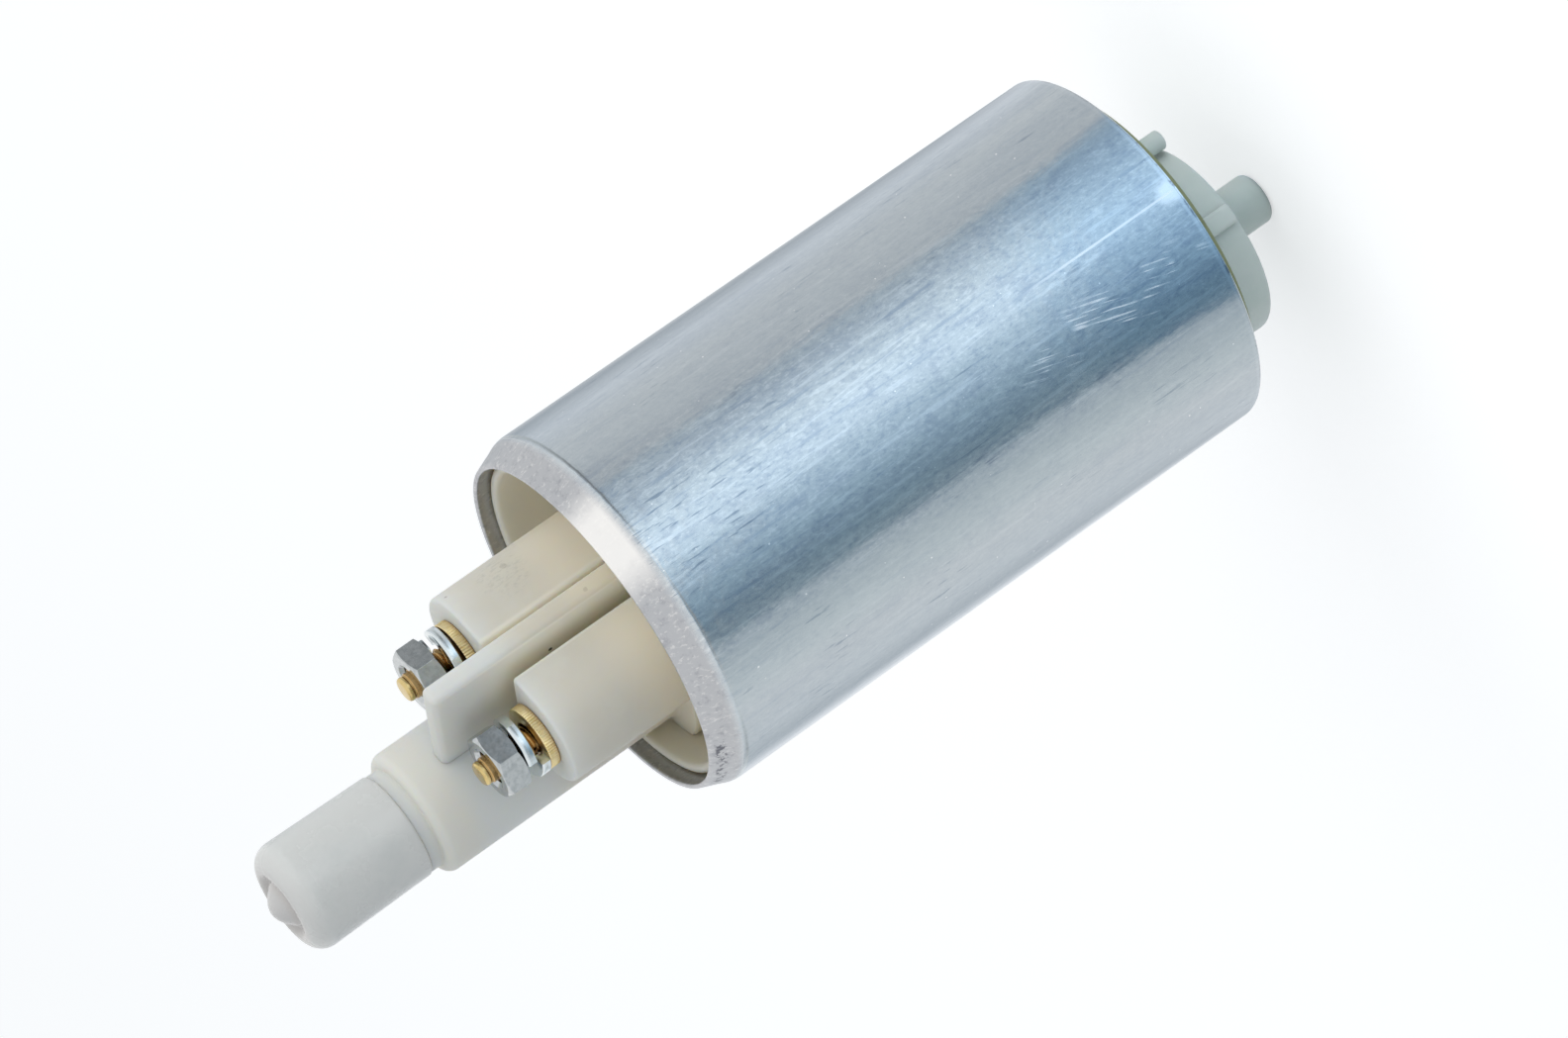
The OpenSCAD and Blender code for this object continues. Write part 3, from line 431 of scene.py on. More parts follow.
def make_crevice_shade():
    """Painted shade where surfaces meet and little light gets in."""
    tree, ins, outs = group("crevice", [("Reach", 0.004)], ["Dirt"])
    shade = node(tree, "ShaderNodeAmbientOcclusion", {"samples": 8}, Distance=ins[0])
    tree.links.new(ramp(tree, shade.outputs["AO"], 0.2, 0.95, 1.0, 0.0), outs[0])
    return tree


DRAWN, MOTTLE, SPECKS = make_drawn_metal(), make_mottle(), make_specks()
WORN_AND_SHEEN, CREVICE_SHADE = make_worn_edge_and_sheen(), make_crevice_shade()


def blank_material(name):
    """A material with nothing in it yet, its node tree, and the socket that takes its shader."""
    material = bpy.data.materials.new(name)
    material.use_nodes = True
    tree = material.node_tree
    tree.nodes.clear()
    return material, tree, tree.nodes.new("ShaderNodeOutputMaterial").inputs["Surface"]


class Finish:
    """One material: a Principled shader whose sockets are fed by mixes of the shared effects."""

    def __init__(self, name, colour, roughness, metallic=0.0, **constants):
        self.material, self.tree, surface = blank_material(name)
        self.shader = self.tree.nodes.new("ShaderNodeBsdfPrincipled")
        self.tree.links.new(self.shader.outputs[0], surface)
        self.shader.inputs["Base Color"].default_value = (*colour, 1)
        self.shader.inputs["Roughness"].default_value = roughness
        self.shader.inputs["Metallic"].default_value = metallic
        for key, value in constants.items():
            self.shader.inputs[key.replace("_", " ")].default_value = value
        self.point = object_point(self.tree)
        self.axes = node(self.tree, "ShaderNodeSeparateXYZ", Vector=self.point).outputs
        self.colour = self.roughness = self.height = None

    def effect(self, tree, **values):
        made = self.tree.nodes.new("ShaderNodeGroup")
        made.node_tree = tree
        for key, value in values.items():
            made.inputs[key].default_value = value
        return made.outputs

    def tint(self, colour, mask, amount):
        """Lay an amount of a colour over the base colour where mask is high."""
        mix = node(self.tree, "ShaderNodeMix", {"data_type": "RGBA"})
        share = maths(self.tree, "MULTIPLY", mask, amount, clamp=True)
        self.tree.links.new(share, mix.inputs["Factor"])
        base = self.shader.inputs["Base Color"]
        if self.colour:
            self.tree.links.new(self.colour, mix.inputs[6])
        else:
            mix.inputs[6].default_value = base.default_value
        mix.inputs[7].default_value = (*colour, 1)
        self.tree.links.new(mix.outputs[2], base)
        self.colour = mix.outputs[2]
        return self

    def rough(self, change, mask):
        """Add change to the roughness where mask is high."""
        socket = self.shader.inputs["Roughness"]
        now = self.roughness or socket.default_value
        self.roughness = maths(self.tree, "ADD", now, self.times(mask, change), clamp=True)
        self.tree.links.new(self.roughness, socket)
        return self

    def raise_by(self, mask, depth):
        """Add mask times depth, in millimetres, to the surface's height."""
        value = self.times(mask, depth * MM)
        self.height = value if self.height is None else self.maths("ADD", self.height, value)
        return self

    def done(self, strength=1.0):
        if self.height is not None:
            bump = node(self.tree, "ShaderNodeBump", Strength=strength, Distance=1.0, Height=self.height)
            self.tree.links.new(bump.outputs[0], self.shader.inputs["Normal"])
        return self.material

    # Values and masks of one finish
    def maths(self, operation, a, b=0.0):
        return maths(self.tree, operation, a, b)

    def times(self, *masks):
        return times(self.tree, *masks)

    def ramp(self, value, low, high, out_low=0.0, out_high=1.0):
        return ramp(self.tree, value, low, high, out_low, out_high)

    def noise(self, scale, detail, roughness, stretch=None):
        return noise(self.tree, self.point, scale, detail, roughness, stretch)

    # Masks by place, in millimetres
    def band(self, axis, low, high, soft):
        """1 between low and high along an axis (0, 1 or 2), falling off over soft."""
        value = self.axes[axis]
        rise = self.ramp(value, (low - soft) * MM, low * MM)
        fall = self.ramp(value, high * MM, (high + soft) * MM, 1.0, 0.0)
        return self.times(rise, fall)

    def spot(self, centre, radius, soft, squeeze=(1, 1, 1)):
        """1 within radius of a point, falling off over soft, with its outline broken by noise."""
        shift = node(self.tree, "ShaderNodeVectorMath", {"operation": "SUBTRACT"}, _0=self.point,
                     _1=[c * MM for c in centre])
        scaled = node(self.tree, "ShaderNodeVectorMath", {"operation": "MULTIPLY"}, _0=shift.outputs[0],
                      _1=squeeze)
        uneven = self.times(self.noise(900.0, 3.0, 0.6), radius * 0.9 * MM)
        far = self.maths("ADD", length_of(self.tree, scaled.outputs[0]), uneven)
        return self.ramp(far, radius * MM, (radius + soft) * MM, 1.0, 0.0)


# Finishes of the pieces that show

def unrolled(f):
    """The can's surface laid flat: the way round from the side that faces the viewer, and the height."""
    x, y, z = f.axes
    side, front = math.sin(math.radians(VIEW_TURN)), math.cos(math.radians(VIEW_TURN))
    across = f.maths("SUBTRACT", f.times(x, front), f.times(y, side))
    towards = f.maths("ADD", f.times(x, side), f.times(y, front))
    round_it = f.times(f.maths("ARCTAN2", across, towards), CAN_R * MM)
    return round_it, node(f.tree, "ShaderNodeCombineXYZ", X=round_it, Y=z).outputs[0]


def can_finish():
    """Zinc-plated can, drawn along its axis, with a satin lip and a worn foot."""
    f = Finish("zinc plated can", (0.56, 0.61, 0.64), 0.09, 1.0)
    round_it, flat = unrolled(f)
    streaks = f.effect(DRAWN, Density=900.0, Twist=4.0)
    cloud = f.effect(MOTTLE, Scale=110.0)
    fine = f.effect(MOTTLE, Scale=420.0)
    grain = f.noise(2400.0, 4.0, 0.72, (1, 1, 0.5))
    combed = f.noise(1300.0, 3.0, 0.6, (1, 1, 0.07))
    dash = f.noise(2600.0, 2.0, 0.55, (1, 1, 0.10))
    wall = f.band(2, Z_FOOT + 0.4, Z_WALL - 0.1, 0.1)
    # Grain painted livelier on the side that faces the viewer, where the highlight falls, the bright grain a
    # painted sheen; streaks calmer towards the lower right
    middle = f.times(f.ramp(round_it, -15 * MM, -10 * MM, 0.3, 1.0),
                     f.ramp(round_it, 8 * MM, 13 * MM, 1.0, 0.3))
    calm = f.ramp(round_it, 9 * MM, 15 * MM, 1.0, 0.4)
    # Short dark dashes come in loose groups, most of them near the lip
    near_lip = f.spot((7.0, 20.3, 30.0), 6.0, 6.0, (1, 1, 0.6))
    crowd = maths(f.tree, "ADD", f.ramp(cloud[0], 0.50, 0.66, 0.0, 0.75), near_lip, clamp=True)
    for where, pattern, low, high, colour, amount in (
            (calm, streaks[0], 0.45, 0.70, (0.47, 0.52, 0.57), 0.45),
            (calm, streaks[0], 0.42, 0.25, (0.64, 0.68, 0.70), 0.45),
            (middle, fine[0], 0.48, 0.68, (0.44, 0.49, 0.55), 0.6),
            (middle, grain, 0.52, 0.66, (0.36, 0.42, 0.50), 0.6),
            (middle, grain, 0.48, 0.36, (0.78, 0.82, 0.84), 0.45),
            (middle, combed, 0.56, 0.70, (0.34, 0.41, 0.50), 0.6),
            (middle, combed, 0.44, 0.32, (0.78, 0.83, 0.86), 0.5),
            (crowd, dash, 0.59, 0.68, (0.17, 0.23, 0.31), 0.65),
            (middle, streaks[1], 0.62, 0.72, (0.80, 0.84, 0.87), 0.3)):
        f.tint(colour, f.times(where, f.ramp(pattern, low, high)), amount)
    # Tiny glints
    f.tint((1.0, 1.0, 1.0), f.effect(SPECKS, Scale=1500.0, Share=0.10, Size=0.16)[0], 0.8)
    f.rough(0.05, f.ramp(streaks[0], 0.35, 0.65))
    f.rough(0.05, f.ramp(cloud[0], 0.4, 0.7))
    calm = f.times(calm, wall)
    f.raise_by(f.times(streaks[1], calm), 0.003)
    f.raise_by(f.times(streaks[0], calm), 0.035)
    f.raise_by(f.times(fine[0], wall), 0.012)
    f.raise_by(f.times(grain, wall, middle), 0.007)
    f.raise_by(f.times(f.noise(190.0, 3.0, 0.6), wall), 0.075)
    scratches(f, round_it, flat)
    lip_tones(f, round_it, grain)
    # Foot: a painted highlight along its rounding on the side facing the viewer, with nicks in the plating
    foot = f.band(2, Z_FOOT - 0.2, Z_FOOT + 0.25, 0.35)
    f.tint((0.85, 0.90, 0.95), f.times(middle, f.band(2, Z_FOOT + 0.2, Z_FOOT + 0.65, 0.3)), 0.4)
    nicks = f.ramp(f.noise(420.0, 3.0, 0.6), 0.56, 0.66)
    f.tint((0.12, 0.15, 0.20), f.times(foot, nicks), 0.75)
    return f.done(0.8)


def scratches(f, round_it, flat):
    """Slanting bright scratches near the foot, and one long straight one that ends in a painted glint."""
    slanted = turned_point(f.tree, flat, math.radians(-15))
    strokes = f.ramp(noise(f.tree, slanted, 3200.0, 2.0, 0.5, (1, 0.045, 1)), 0.55, 0.62)
    broken = f.ramp(noise(f.tree, flat, 210.0, 2.0, 0.5), 0.42, 0.54)
    strokes = f.times(strokes, broken, f.spot(STROKES_AT, 2.6, 2.2, (1, 1, 0.19)))
    f.tint((1.0, 1.0, 1.0), strokes, 0.9)
    f.rough(0.25, strokes)
    off = f.maths("ABSOLUTE", f.maths("SUBTRACT", round_it, SCRATCH_AT * MM))
    line = f.times(f.ramp(off, 0.05 * MM, 0.20 * MM, 1.0, 0.0), f.ramp(f.axes[2], -12 * MM, -22 * MM))
    f.tint((1.0, 1.0, 1.0), line, 0.75)
    f.rough(0.2, line)
    # Painted glint where the long scratch ends
    f.tint((1.0, 1.0, 1.0), f.spot(GLINT_AT, 1.1, 1.2, (1, 1, 0.8)), 0.85)


def lip_tones(f, round_it, grain):
    """The can's lip: warm satin, mottled, with a painted highlight and dark smudges."""
    lip = f.band(2, Z_WALL + 0.6, Z_LIP + 0.1, 1.1)
    f.tint((0.47, 0.48, 0.50), lip, 0.95)
    f.rough(0.22, lip)
    worn = f.ramp(f.noise(900.0, 4.0, 0.75), 0.50, 0.68)
    f.tint((0.33, 0.34, 0.37), f.times(lip, worn), 0.7)
    f.tint((0.70, 0.70, 0.70), f.times(lip, f.ramp(grain, 0.46, 0.34)), 0.7)
    # Painted highlight on the stretch of the lip that faces the viewer
    shine = f.times(f.ramp(round_it, -14 * MM, -9 * MM), f.ramp(round_it, -4 * MM, 2 * MM, 1.0, 0.0))
    f.tint((1.0, 0.985, 0.96), f.times(lip, shine), 0.8)
    smear = f.times(f.band(1, -7.5, 2.0, 1.2), f.band(0, 15, 22, 1), f.band(2, 36.6, 37.4, 0.3))
    f.tint((0.06, 0.065, 0.09), f.times(smear, f.ramp(f.noise(1100.0, 4.0, 0.7), 0.47, 0.56)), 0.8)


def ivory_finish():
    """Ivory moulded acetal, satin, a little dirty where it is handled, with painted light deep in the cup and
    between the parts and painted shade where surfaces meet.
    """
    f = Finish("ivory moulding", (0.70, 0.675, 0.60), 0.42, Subsurface_Weight=0.6, Subsurface_Scale=0.004,
               Subsurface_Radius=(1.0, 0.75, 0.45), Specular_IOR_Level=0.4)
    cloud = f.effect(MOTTLE, Scale=140.0)
    f.tint((0.66, 0.62, 0.52), f.ramp(cloud[0], 0.5, 0.75), 0.5)
    f.tint((0.75, 0.74, 0.68), f.ramp(cloud[0], 0.48, 0.25), 0.5)
    # Warmer and lighter deep in the cup, a painted glow standing in for light let through and bounced there;
    # cooler towards the outlet, and warmer again at its neck
    f.tint((0.88, 0.81, 0.68), f.band(2, Z_WEB, 36.0, 7.0), 0.9)
    f.tint((0.76, 0.785, 0.78), f.band(2, 51.5, 80.0, 6.0), 0.9)
    f.tint((0.79, 0.775, 0.71), f.band(2, 60.0, 65.0, 3.0), 0.75)
    # Painted light between the towers and the wall, lightening the shade in those gaps
    between = f.times(f.band(0, -2.8, 2.8, 0.5), f.band(1, -9, 7.9, 0.3), f.band(2, Z_WEB, 46, 10))
    f.tint((1.0, 0.96, 0.86), between, 0.9)
    # Painted shade where surfaces meet
    f.tint((0.60, 0.54, 0.38), f.effect(CREVICE_SHADE, Reach=0.003)[0], 0.2)
    f.tint((0.38, 0.34, 0.28), f.effect(SPECKS, Scale=330.0, Share=0.10, Size=0.13)[0], 0.3)
    # A rubbed patch on the negative tower, and two dark marks
    rubbed = f.ramp(f.noise(2600.0, 4.0, 0.7, (1, 1, 0.5)), 0.46, 0.68)
    f.tint((0.42, 0.42, 0.38), f.times(rubbed, f.spot((-8.5, 5.8, 43.0), 2.6, 2.2, (0.8, 1, 1))), 0.32)
    f.tint((0.30, 0.28, 0.25), f.spot((-9.9, 4.9, 48.9), 0.25, 0.15), 0.7)
    f.tint((0.02, 0.02, 0.02), f.spot((1.2, 3.69, 43.97), 0.30, 0.12), 0.95)
    f.rough(0.16, f.ramp(cloud[1], 0.35, 0.7))
    f.raise_by(cloud[1], 0.012).raise_by(cloud[0], 0.05)
    return f.done(0.6)


def vinyl_finish():
    """Soft grey-white vinyl of the transport cap: glossy, slightly cloudy, with painted shade in its end's
    groove.
    """
    f = Finish("grey white vinyl", (0.73, 0.74, 0.725), 0.24, Subsurface_Weight=0.3, Subsurface_Scale=0.003,
               Subsurface_Radius=(0.9, 1.0, 0.95), Coat_Weight=0.25, Coat_Roughness=0.12)
    cloud = f.effect(MOTTLE, Scale=170.0)
    f.tint((0.64, 0.665, 0.655), f.ramp(cloud[0], 0.45, 0.75), 0.6)
    f.tint((0.74, 0.72, 0.70), f.band(2, Z_CAP_RIM - 0.5, Z_CAP_RIM + 2.5, 1.5), 0.4)
    y = f.maths("SUBTRACT", f.axes[1], TUBE_Y * MM)
    out = f.maths("POWER", f.maths("ADD", f.times(f.axes[0], f.axes[0]), f.times(y, y)), 0.5)
    end = f.band(2, Z_CAP_RIM - 0.9, Z_CAP_RIM + 10.5, 0.1)
    # Painted shade in the end's dish and groove, lighter again on the nib
    f.tint((0.60, 0.56, 0.54), f.times(f.ramp(out, 3.7 * MM, 5.3 * MM, 1.0, 0.0), end), 0.7)
    f.tint((0.66, 0.65, 0.65), f.times(f.ramp(out, 1.9 * MM, 2.5 * MM, 1.0, 0.0), end), 0.6)
    f.tint((0.60, 0.59, 0.55), f.band(2, Z_CAP - 0.1, Z_CAP + 0.15, 0.15), 0.4)
    f.rough(0.14, f.ramp(cloud[0], 0.4, 0.7))
    f.raise_by(cloud[0], 0.12).raise_by(cloud[1], 0.006)
    return f.done(0.7)


def inlet_finish():
    """Greenish-white moulding of the inlet cover, with dark specks and painted shade where surfaces meet."""
    f = Finish("greenish white moulding", (0.67, 0.755, 0.735), 0.38, Subsurface_Weight=0.3,
               Subsurface_Scale=0.002, Subsurface_Radius=(0.8, 1.0, 0.8))
    cloud = f.effect(MOTTLE, Scale=150.0)
    f.tint((0.58, 0.69, 0.665), f.ramp(cloud[0], 0.42, 0.7), 0.6)
    f.tint((0.12, 0.12, 0.11), f.effect(SPECKS, Scale=260.0, Share=0.22, Size=0.14)[0], 0.75)
    # Painted shade where surfaces meet
    f.tint((0.30, 0.31, 0.27), f.effect(CREVICE_SHADE, Reach=0.003)[0], 0.35)
    f.rough(0.14, f.ramp(cloud[1], 0.35, 0.7))
    f.raise_by(cloud[1], 0.010).raise_by(cloud[0], 0.05)
    return f.done(0.6)


def plated_finish(name, colour, roughness, dark, share=0.5, scale=2200.0, rise=0.0012, worn=0.75, splits=()):
    """Bright plating with cloudy darker patches, edges painted brighter as wear and edge highlight, and
    painted shade where surfaces meet and in a washer's split.
    """
    f = Finish(name, colour, roughness, 1.0)
    cloud = f.effect(MOTTLE, Scale=scale)
    f.tint(dark, f.ramp(cloud[0], 0.48, 0.72), share)
    # Painted shade where surfaces meet
    f.tint((0.05, 0.05, 0.06), f.effect(CREVICE_SHADE, Reach=0.0006)[0], 0.6)
    # Edges brighter: wear, and a painted edge highlight
    f.tint((0.95, 0.96, 0.97), f.effect(WORN_AND_SHEEN, Width=0.2, Break=1500.0)[0], worn)
    for split in splits:
        f.tint((0.05, 0.05, 0.06), f.spot(split, 0.7, 0.5), 0.75)
    f.rough(0.07, f.ramp(cloud[0], 0.4, 0.7))
    f.raise_by(cloud[1], rise * 0.4).raise_by(cloud[0], rise)
    return f.done(0.7)


def brass_finish(name, colour, roughness, root=0.0):
    """Brass, darker in patches, with edges painted brighter as wear and edge highlight, and painted shade
    where surfaces meet; root shows a coppery tone on the stud's thread.
    """
    f = Finish(name, colour, roughness, 1.0)
    cloud = f.effect(MOTTLE, Scale=700.0)
    f.tint((0.50, 0.34, 0.12), f.ramp(cloud[0], 0.45, 0.72), 0.4)
    if root:
        f.tint((0.42, 0.20, 0.07), f.band(2, 44.0, Z_TIP, 0.12), root)
    # Edges brighter: wear, and a painted edge highlight
    f.tint((0.98, 0.85, 0.55), f.effect(WORN_AND_SHEEN, Width=0.25, Break=1800.0)[0], 0.1 if root else 0.6)
    # Painted shade where surfaces meet
    f.tint((0.30, 0.13, 0.04), f.effect(CREVICE_SHADE, Reach=0.0008)[0], 0.75)
    f.rough(0.10, f.ramp(cloud[0], 0.4, 0.7))
    f.raise_by(cloud[1], 0.003)
    return f.done(0.7)


# Finishes of the pieces inside, and of the seals

def shade(colour, level):
    return [c * level for c in colour]


def rubber_finish(name, colour):
    f = Finish(name, colour, 0.55)
    cloud = f.effect(MOTTLE, Scale=400.0)
    f.tint(shade(colour, 0.6), f.ramp(cloud[0], 0.5, 0.75), 0.6)
    f.rough(0.18, cloud[0])
    f.raise_by(cloud[1], 0.01)
    return f.done()


def sintered(name, colour, roughness, metallic=1.0):
    """Pressed powder: fine pores, cloudy tone, rubbed edges."""
    f = Finish(name, colour, roughness, metallic)
    cloud = f.effect(MOTTLE, Scale=600.0)
    f.tint(shade(colour, 0.62), f.ramp(cloud[0], 0.5, 0.72), 0.6)
    f.tint(shade(colour, 0.4), f.effect(SPECKS, Scale=1800.0, Share=0.3, Size=0.22)[0], 0.7)
    rubbed = [min(1, c * 1.5 + 0.05) for c in colour]
    f.tint(rubbed, f.effect(WORN_AND_SHEEN, Width=0.6, Break=1200.0)[0], 0.5)
    f.rough(0.2, f.ramp(cloud[1], 0.3, 0.7))
    f.raise_by(cloud[1], 0.006)
    return f.done()


def turned_metal(name, colour, roughness=0.28, pitch=0.12):
    """Turned or ground metal with fine rings along Z."""
    f = Finish(name, colour, roughness, 1.0)
    cloud = f.effect(MOTTLE, Scale=500.0)
    rings = f.noise(1.0 / (pitch * MM), 3.0, 0.6, (0.02, 0.02, 1))
    f.tint(shade(colour, 0.7), f.ramp(rings, 0.5, 0.7), 0.4)
    f.tint(shade(colour, 0.75), f.ramp(cloud[0], 0.5, 0.75), 0.4)
    f.rough(0.15, rings)
    f.raise_by(rings, 0.002)
    return f.done()


def layered(name, colour, pitch, dark, roughness=0.4):
    """Metal sheets or turns of wire stacked along Z, a dark line between each two."""
    f = Finish(name, colour, roughness, 1.0)
    height = f.maths("FRACT", f.maths("DIVIDE", f.axes[2], pitch * MM))
    seam = f.maths("ABSOLUTE", f.maths("SUBTRACT", height, 0.5))
    line = f.ramp(seam, 0.36, 0.48)
    cloud = f.effect(MOTTLE, Scale=500.0)
    f.tint(dark, line, 0.8)
    f.tint(shade(colour, 0.7), f.ramp(cloud[0], 0.45, 0.7), 0.5)
    f.rough(0.2, line)
    f.raise_by(f.maths("SUBTRACT", 1.0, line), 0.03)
    return f.done()


def moulded(name, colour):
    f = Finish(name, colour, 0.45)
    cloud = f.effect(MOTTLE, Scale=300.0)
    f.tint(shade(colour, 0.7), f.ramp(cloud[0], 0.5, 0.75), 0.6)
    f.tint(shade(colour, 0.4), f.effect(SPECKS, Scale=500.0, Share=0.15, Size=0.12)[0], 0.5)
    f.rough(0.15, cloud[1])
    f.raise_by(cloud[1], 0.01)
    return f.done()


def dress(piece, material):
    piece.data.materials.clear()
    piece.data.materials.append(material)


def finish_nodes(material, *names):
    """CAD nodes that keep their own shape get their finish in their material slots."""
    for name in names:
        cad = frame["nodes"][name]
        if not cad.material_slots:
            cad.data.materials.append(material)
        for slot in cad.material_slots:
            slot.material = material


def stand_for(piece, slot, *nodes, body="pump_body"):
    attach(piece, body)
    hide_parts(*nodes)


# Can

def make_can():
    outline = [(FOOT_R, Z_FOOT)] + arc(CAN_R - FOOT_ROUND, Z_FOOT + FOOT_ROUND, FOOT_ROUND, -90, 0, 8)
    outline += [(CAN_R, z) for z in (-20.0, 0.0, 20.0)]
    # The wall bends over into the lip
    outline += arc(CAN_R - BEND_R, Z_WALL - 0.85, BEND_R, 0, BEND_TURN, 10)
    outline += arc(LIP_R + LIP_ROUND, Z_LIP - LIP_ROUND, LIP_ROUND, 30, 180, 8)
    outline += [(LIP_R, Z_WALL + 0.9), (BORE_R, Z_WALL + 0.2)]
    outline += [(BORE_R, Z_FOOT + CAN_WALL), (FOOT_R, Z_FOOT + CAN_WALL)]
    can = smooth(turned("can_shell", outline, steps=192), 22)
    dress(can, can_finish())
    stand_for(can, "can", "can")


# Outlet cover: cup, two towers, wall and outlet tube

def tower_room():
    """The room in the positive tower: a guide for the brush, a chamber for its spring, the stud's hole."""
    guide = block("guide", (STUD_X - GUIDE_X, -GUIDE_Y, Z_WEB - 1), (STUD_X + GUIDE_X, GUIDE_Y, Z_GUIDE))
    outline = [(0, Z_SPRING), (SPRING_ROOM_R, Z_SPRING), (SPRING_ROOM_R, Z_HEAD), (STUD_HOLE_R, Z_HEAD),
               (STUD_HOLE_R, Z_TOWER + 1), (0, Z_TOWER + 1)]
    combine(guide, turned("chamber", outline, steps=48, at=(STUD_X, 0), closed=False), "UNION")
    return guide


def make_tower(name):
    """A block with one side rounded to a half circle, and soft edges."""
    outer, near = STUD_X + TOWER_R, 0.01
    tower = block(name, (TOWER_FLAT, -TOWER_R, Z_ROOT), (outer, TOWER_R, Z_TOWER))

    def upright(a, b):
        return abs(a.z - b.z) > 1

    bevel_edges(tower, lambda a, b: min(a.x, b.x) > outer - near and upright(a, b), TOWER_R - near, 28)
    bevel_edges(tower, lambda a, b: max(a.x, b.x) < TOWER_FLAT + near and upright(a, b), 0.6, 5)
    bevel_edges(tower, lambda a, b: min(a.z, b.z) > Z_TOWER - near, 0.4, 4)
    combine(tower, tower_room(), "DIFFERENCE")
    return smooth(weld(tower), 30)


def make_cup():
    """Cup, web and skirt in one turning, with the seal's groove and the bush's pocket."""
    floor_round, rim_round = 0.8, CUP_RIM_T / 2
    cup = [(0, Z_CUP), (CUP_BORE_R - 1.0, Z_CUP)]
    cup += arc(CUP_BORE_R - floor_round, Z_CUP + floor_round, floor_round, -90, 0, 5)
    cup += arc(CUP_R - rim_round, Z_RIM - rim_round, rim_round, 180, 0, 8)
    cup += [(CUP_R, Z_WALL - 0.2), (COVER_R, Z_WALL - 0.9)]
    cup += [(COVER_R, Z_GROOVE_TOP), (GROOVE_R, Z_GROOVE_TOP), (GROOVE_R, Z_GROOVE), (COVER_R, Z_GROOVE)]
    cup += [(COVER_R, Z_SKIRT), (SKIRT_R, Z_SKIRT), (SKIRT_R, Z_WEB)]
    cup += [(BUSH_R, Z_WEB), (BUSH_R, Z_BUSH), (SHAFT_HOLE_R, Z_BUSH), (SHAFT_HOLE_R, Z_SHAFT_HOLE)]
    return turned("cover_cup", cup + [(0, Z_SHAFT_HOLE)], steps=128, closed=False)


def make_spout():
    """Outlet tube with the raised ring round its foot, its collar, neck, two barbs and stepped bore."""
    root = NOZZLE_R - 0.4
    tube = [(VALVE_R, Z_ROOT), (TUBE_R + 3.0, Z_ROOT)]
    tube += arc(TUBE_R + 2.6, Z_CUP + 3.1, 0.4, 0, 90, 3) + arc(TUBE_R + 0.6, Z_CUP + 4.1, 0.6, 270, 180, 4)
    tube += arc(TUBE_R - 1.1, Z_COLLAR - 1.1, 1.1, 0, 80, 7)
    tube += [(NECK_R + 0.08, Z_COLLAR + 0.02), (NECK_R, Z_COLLAR + 0.15)]
    tube += [(NECK_R, Z_NECK + 0.05), (NECK_R - 0.04, Z_NECK + 0.09), (root, Z_NECK + 0.09)]
    barbs = ((8.2, root), (7.8, NOZZLE_R), (7.3, NOZZLE_R), (4.6, root), (4.1, root), (3.7, NOZZLE_R),
             (3.2, NOZZLE_R), (0, root - 0.2))
    tube += [(r, Z_NOZZLE - down) for down, r in barbs]
    tube += [(NOZZLE_BORE_R, Z_NOZZLE), (NOZZLE_BORE_R, Z_NOZZLE_BORE), (VALVE_GUIDE_R, Z_NOZZLE_BORE),
             (VALVE_GUIDE_R, Z_VALVE_GUIDE), (VALVE_R, Z_VALVE_GUIDE)]
    spout = smooth(turned("outlet_tube", tube, steps=96, at=(0, TUBE_Y)), 30)
    # The raised ring ends at the cup's wall
    combine(spout, round_bar("cup_room", CUP_BORE_R + 0.3, 20, 90, sides=128), "INTERSECT")
    return spout


def make_outlet_cover(finish):
    shell = make_cup()
    right = make_tower("positive_tower")
    left = smooth(copy_of(right, "negative_tower", turn=180), 30)
    wall = block("terminal_wall", (-WALL_T / 2, TUBE_Y + 5.5, Z_ROOT), (WALL_T / 2, WALL_Y, Z_TOP))
    soften(wall, 0.7, 6)
    smooth(wall, 30)
    spout = make_spout()
    # Rooms for the brushes, the check valve and the relief valve with its vent
    room = tower_room()
    for piece in (shell, spout):
        for turn in (0, 180):
            combine(piece, copy_of(room, "room", turn=turn), "DIFFERENCE")
    bpy.data.objects.remove(room, do_unlink=True)
    valve_room = round_bar("valve_room", VALVE_R, Z_WEB - 1, Z_CUP + 1, at=(0, TUBE_Y), sides=96)
    combine(shell, valve_room, "DIFFERENCE")
    outline = [(0, Z_WEB - 1), (RELIEF_R, Z_WEB - 1), (RELIEF_R, Z_RELIEF), (VENT_R, Z_RELIEF),
               (VENT_R, Z_VENT), (0, Z_VENT)]
    relief_room = turned("relief_room", outline, steps=48, at=(0, RELIEF_Y), closed=False)
    combine(shell, relief_room, "DIFFERENCE")
    smooth(weld(shell), 30)
    smooth(weld(spout), 30)
    for piece in (shell, right, left, wall, spout):
        dress(piece, finish)
        stand_for(piece, "outlet_cover", "outlet_cover")


# Transport cap

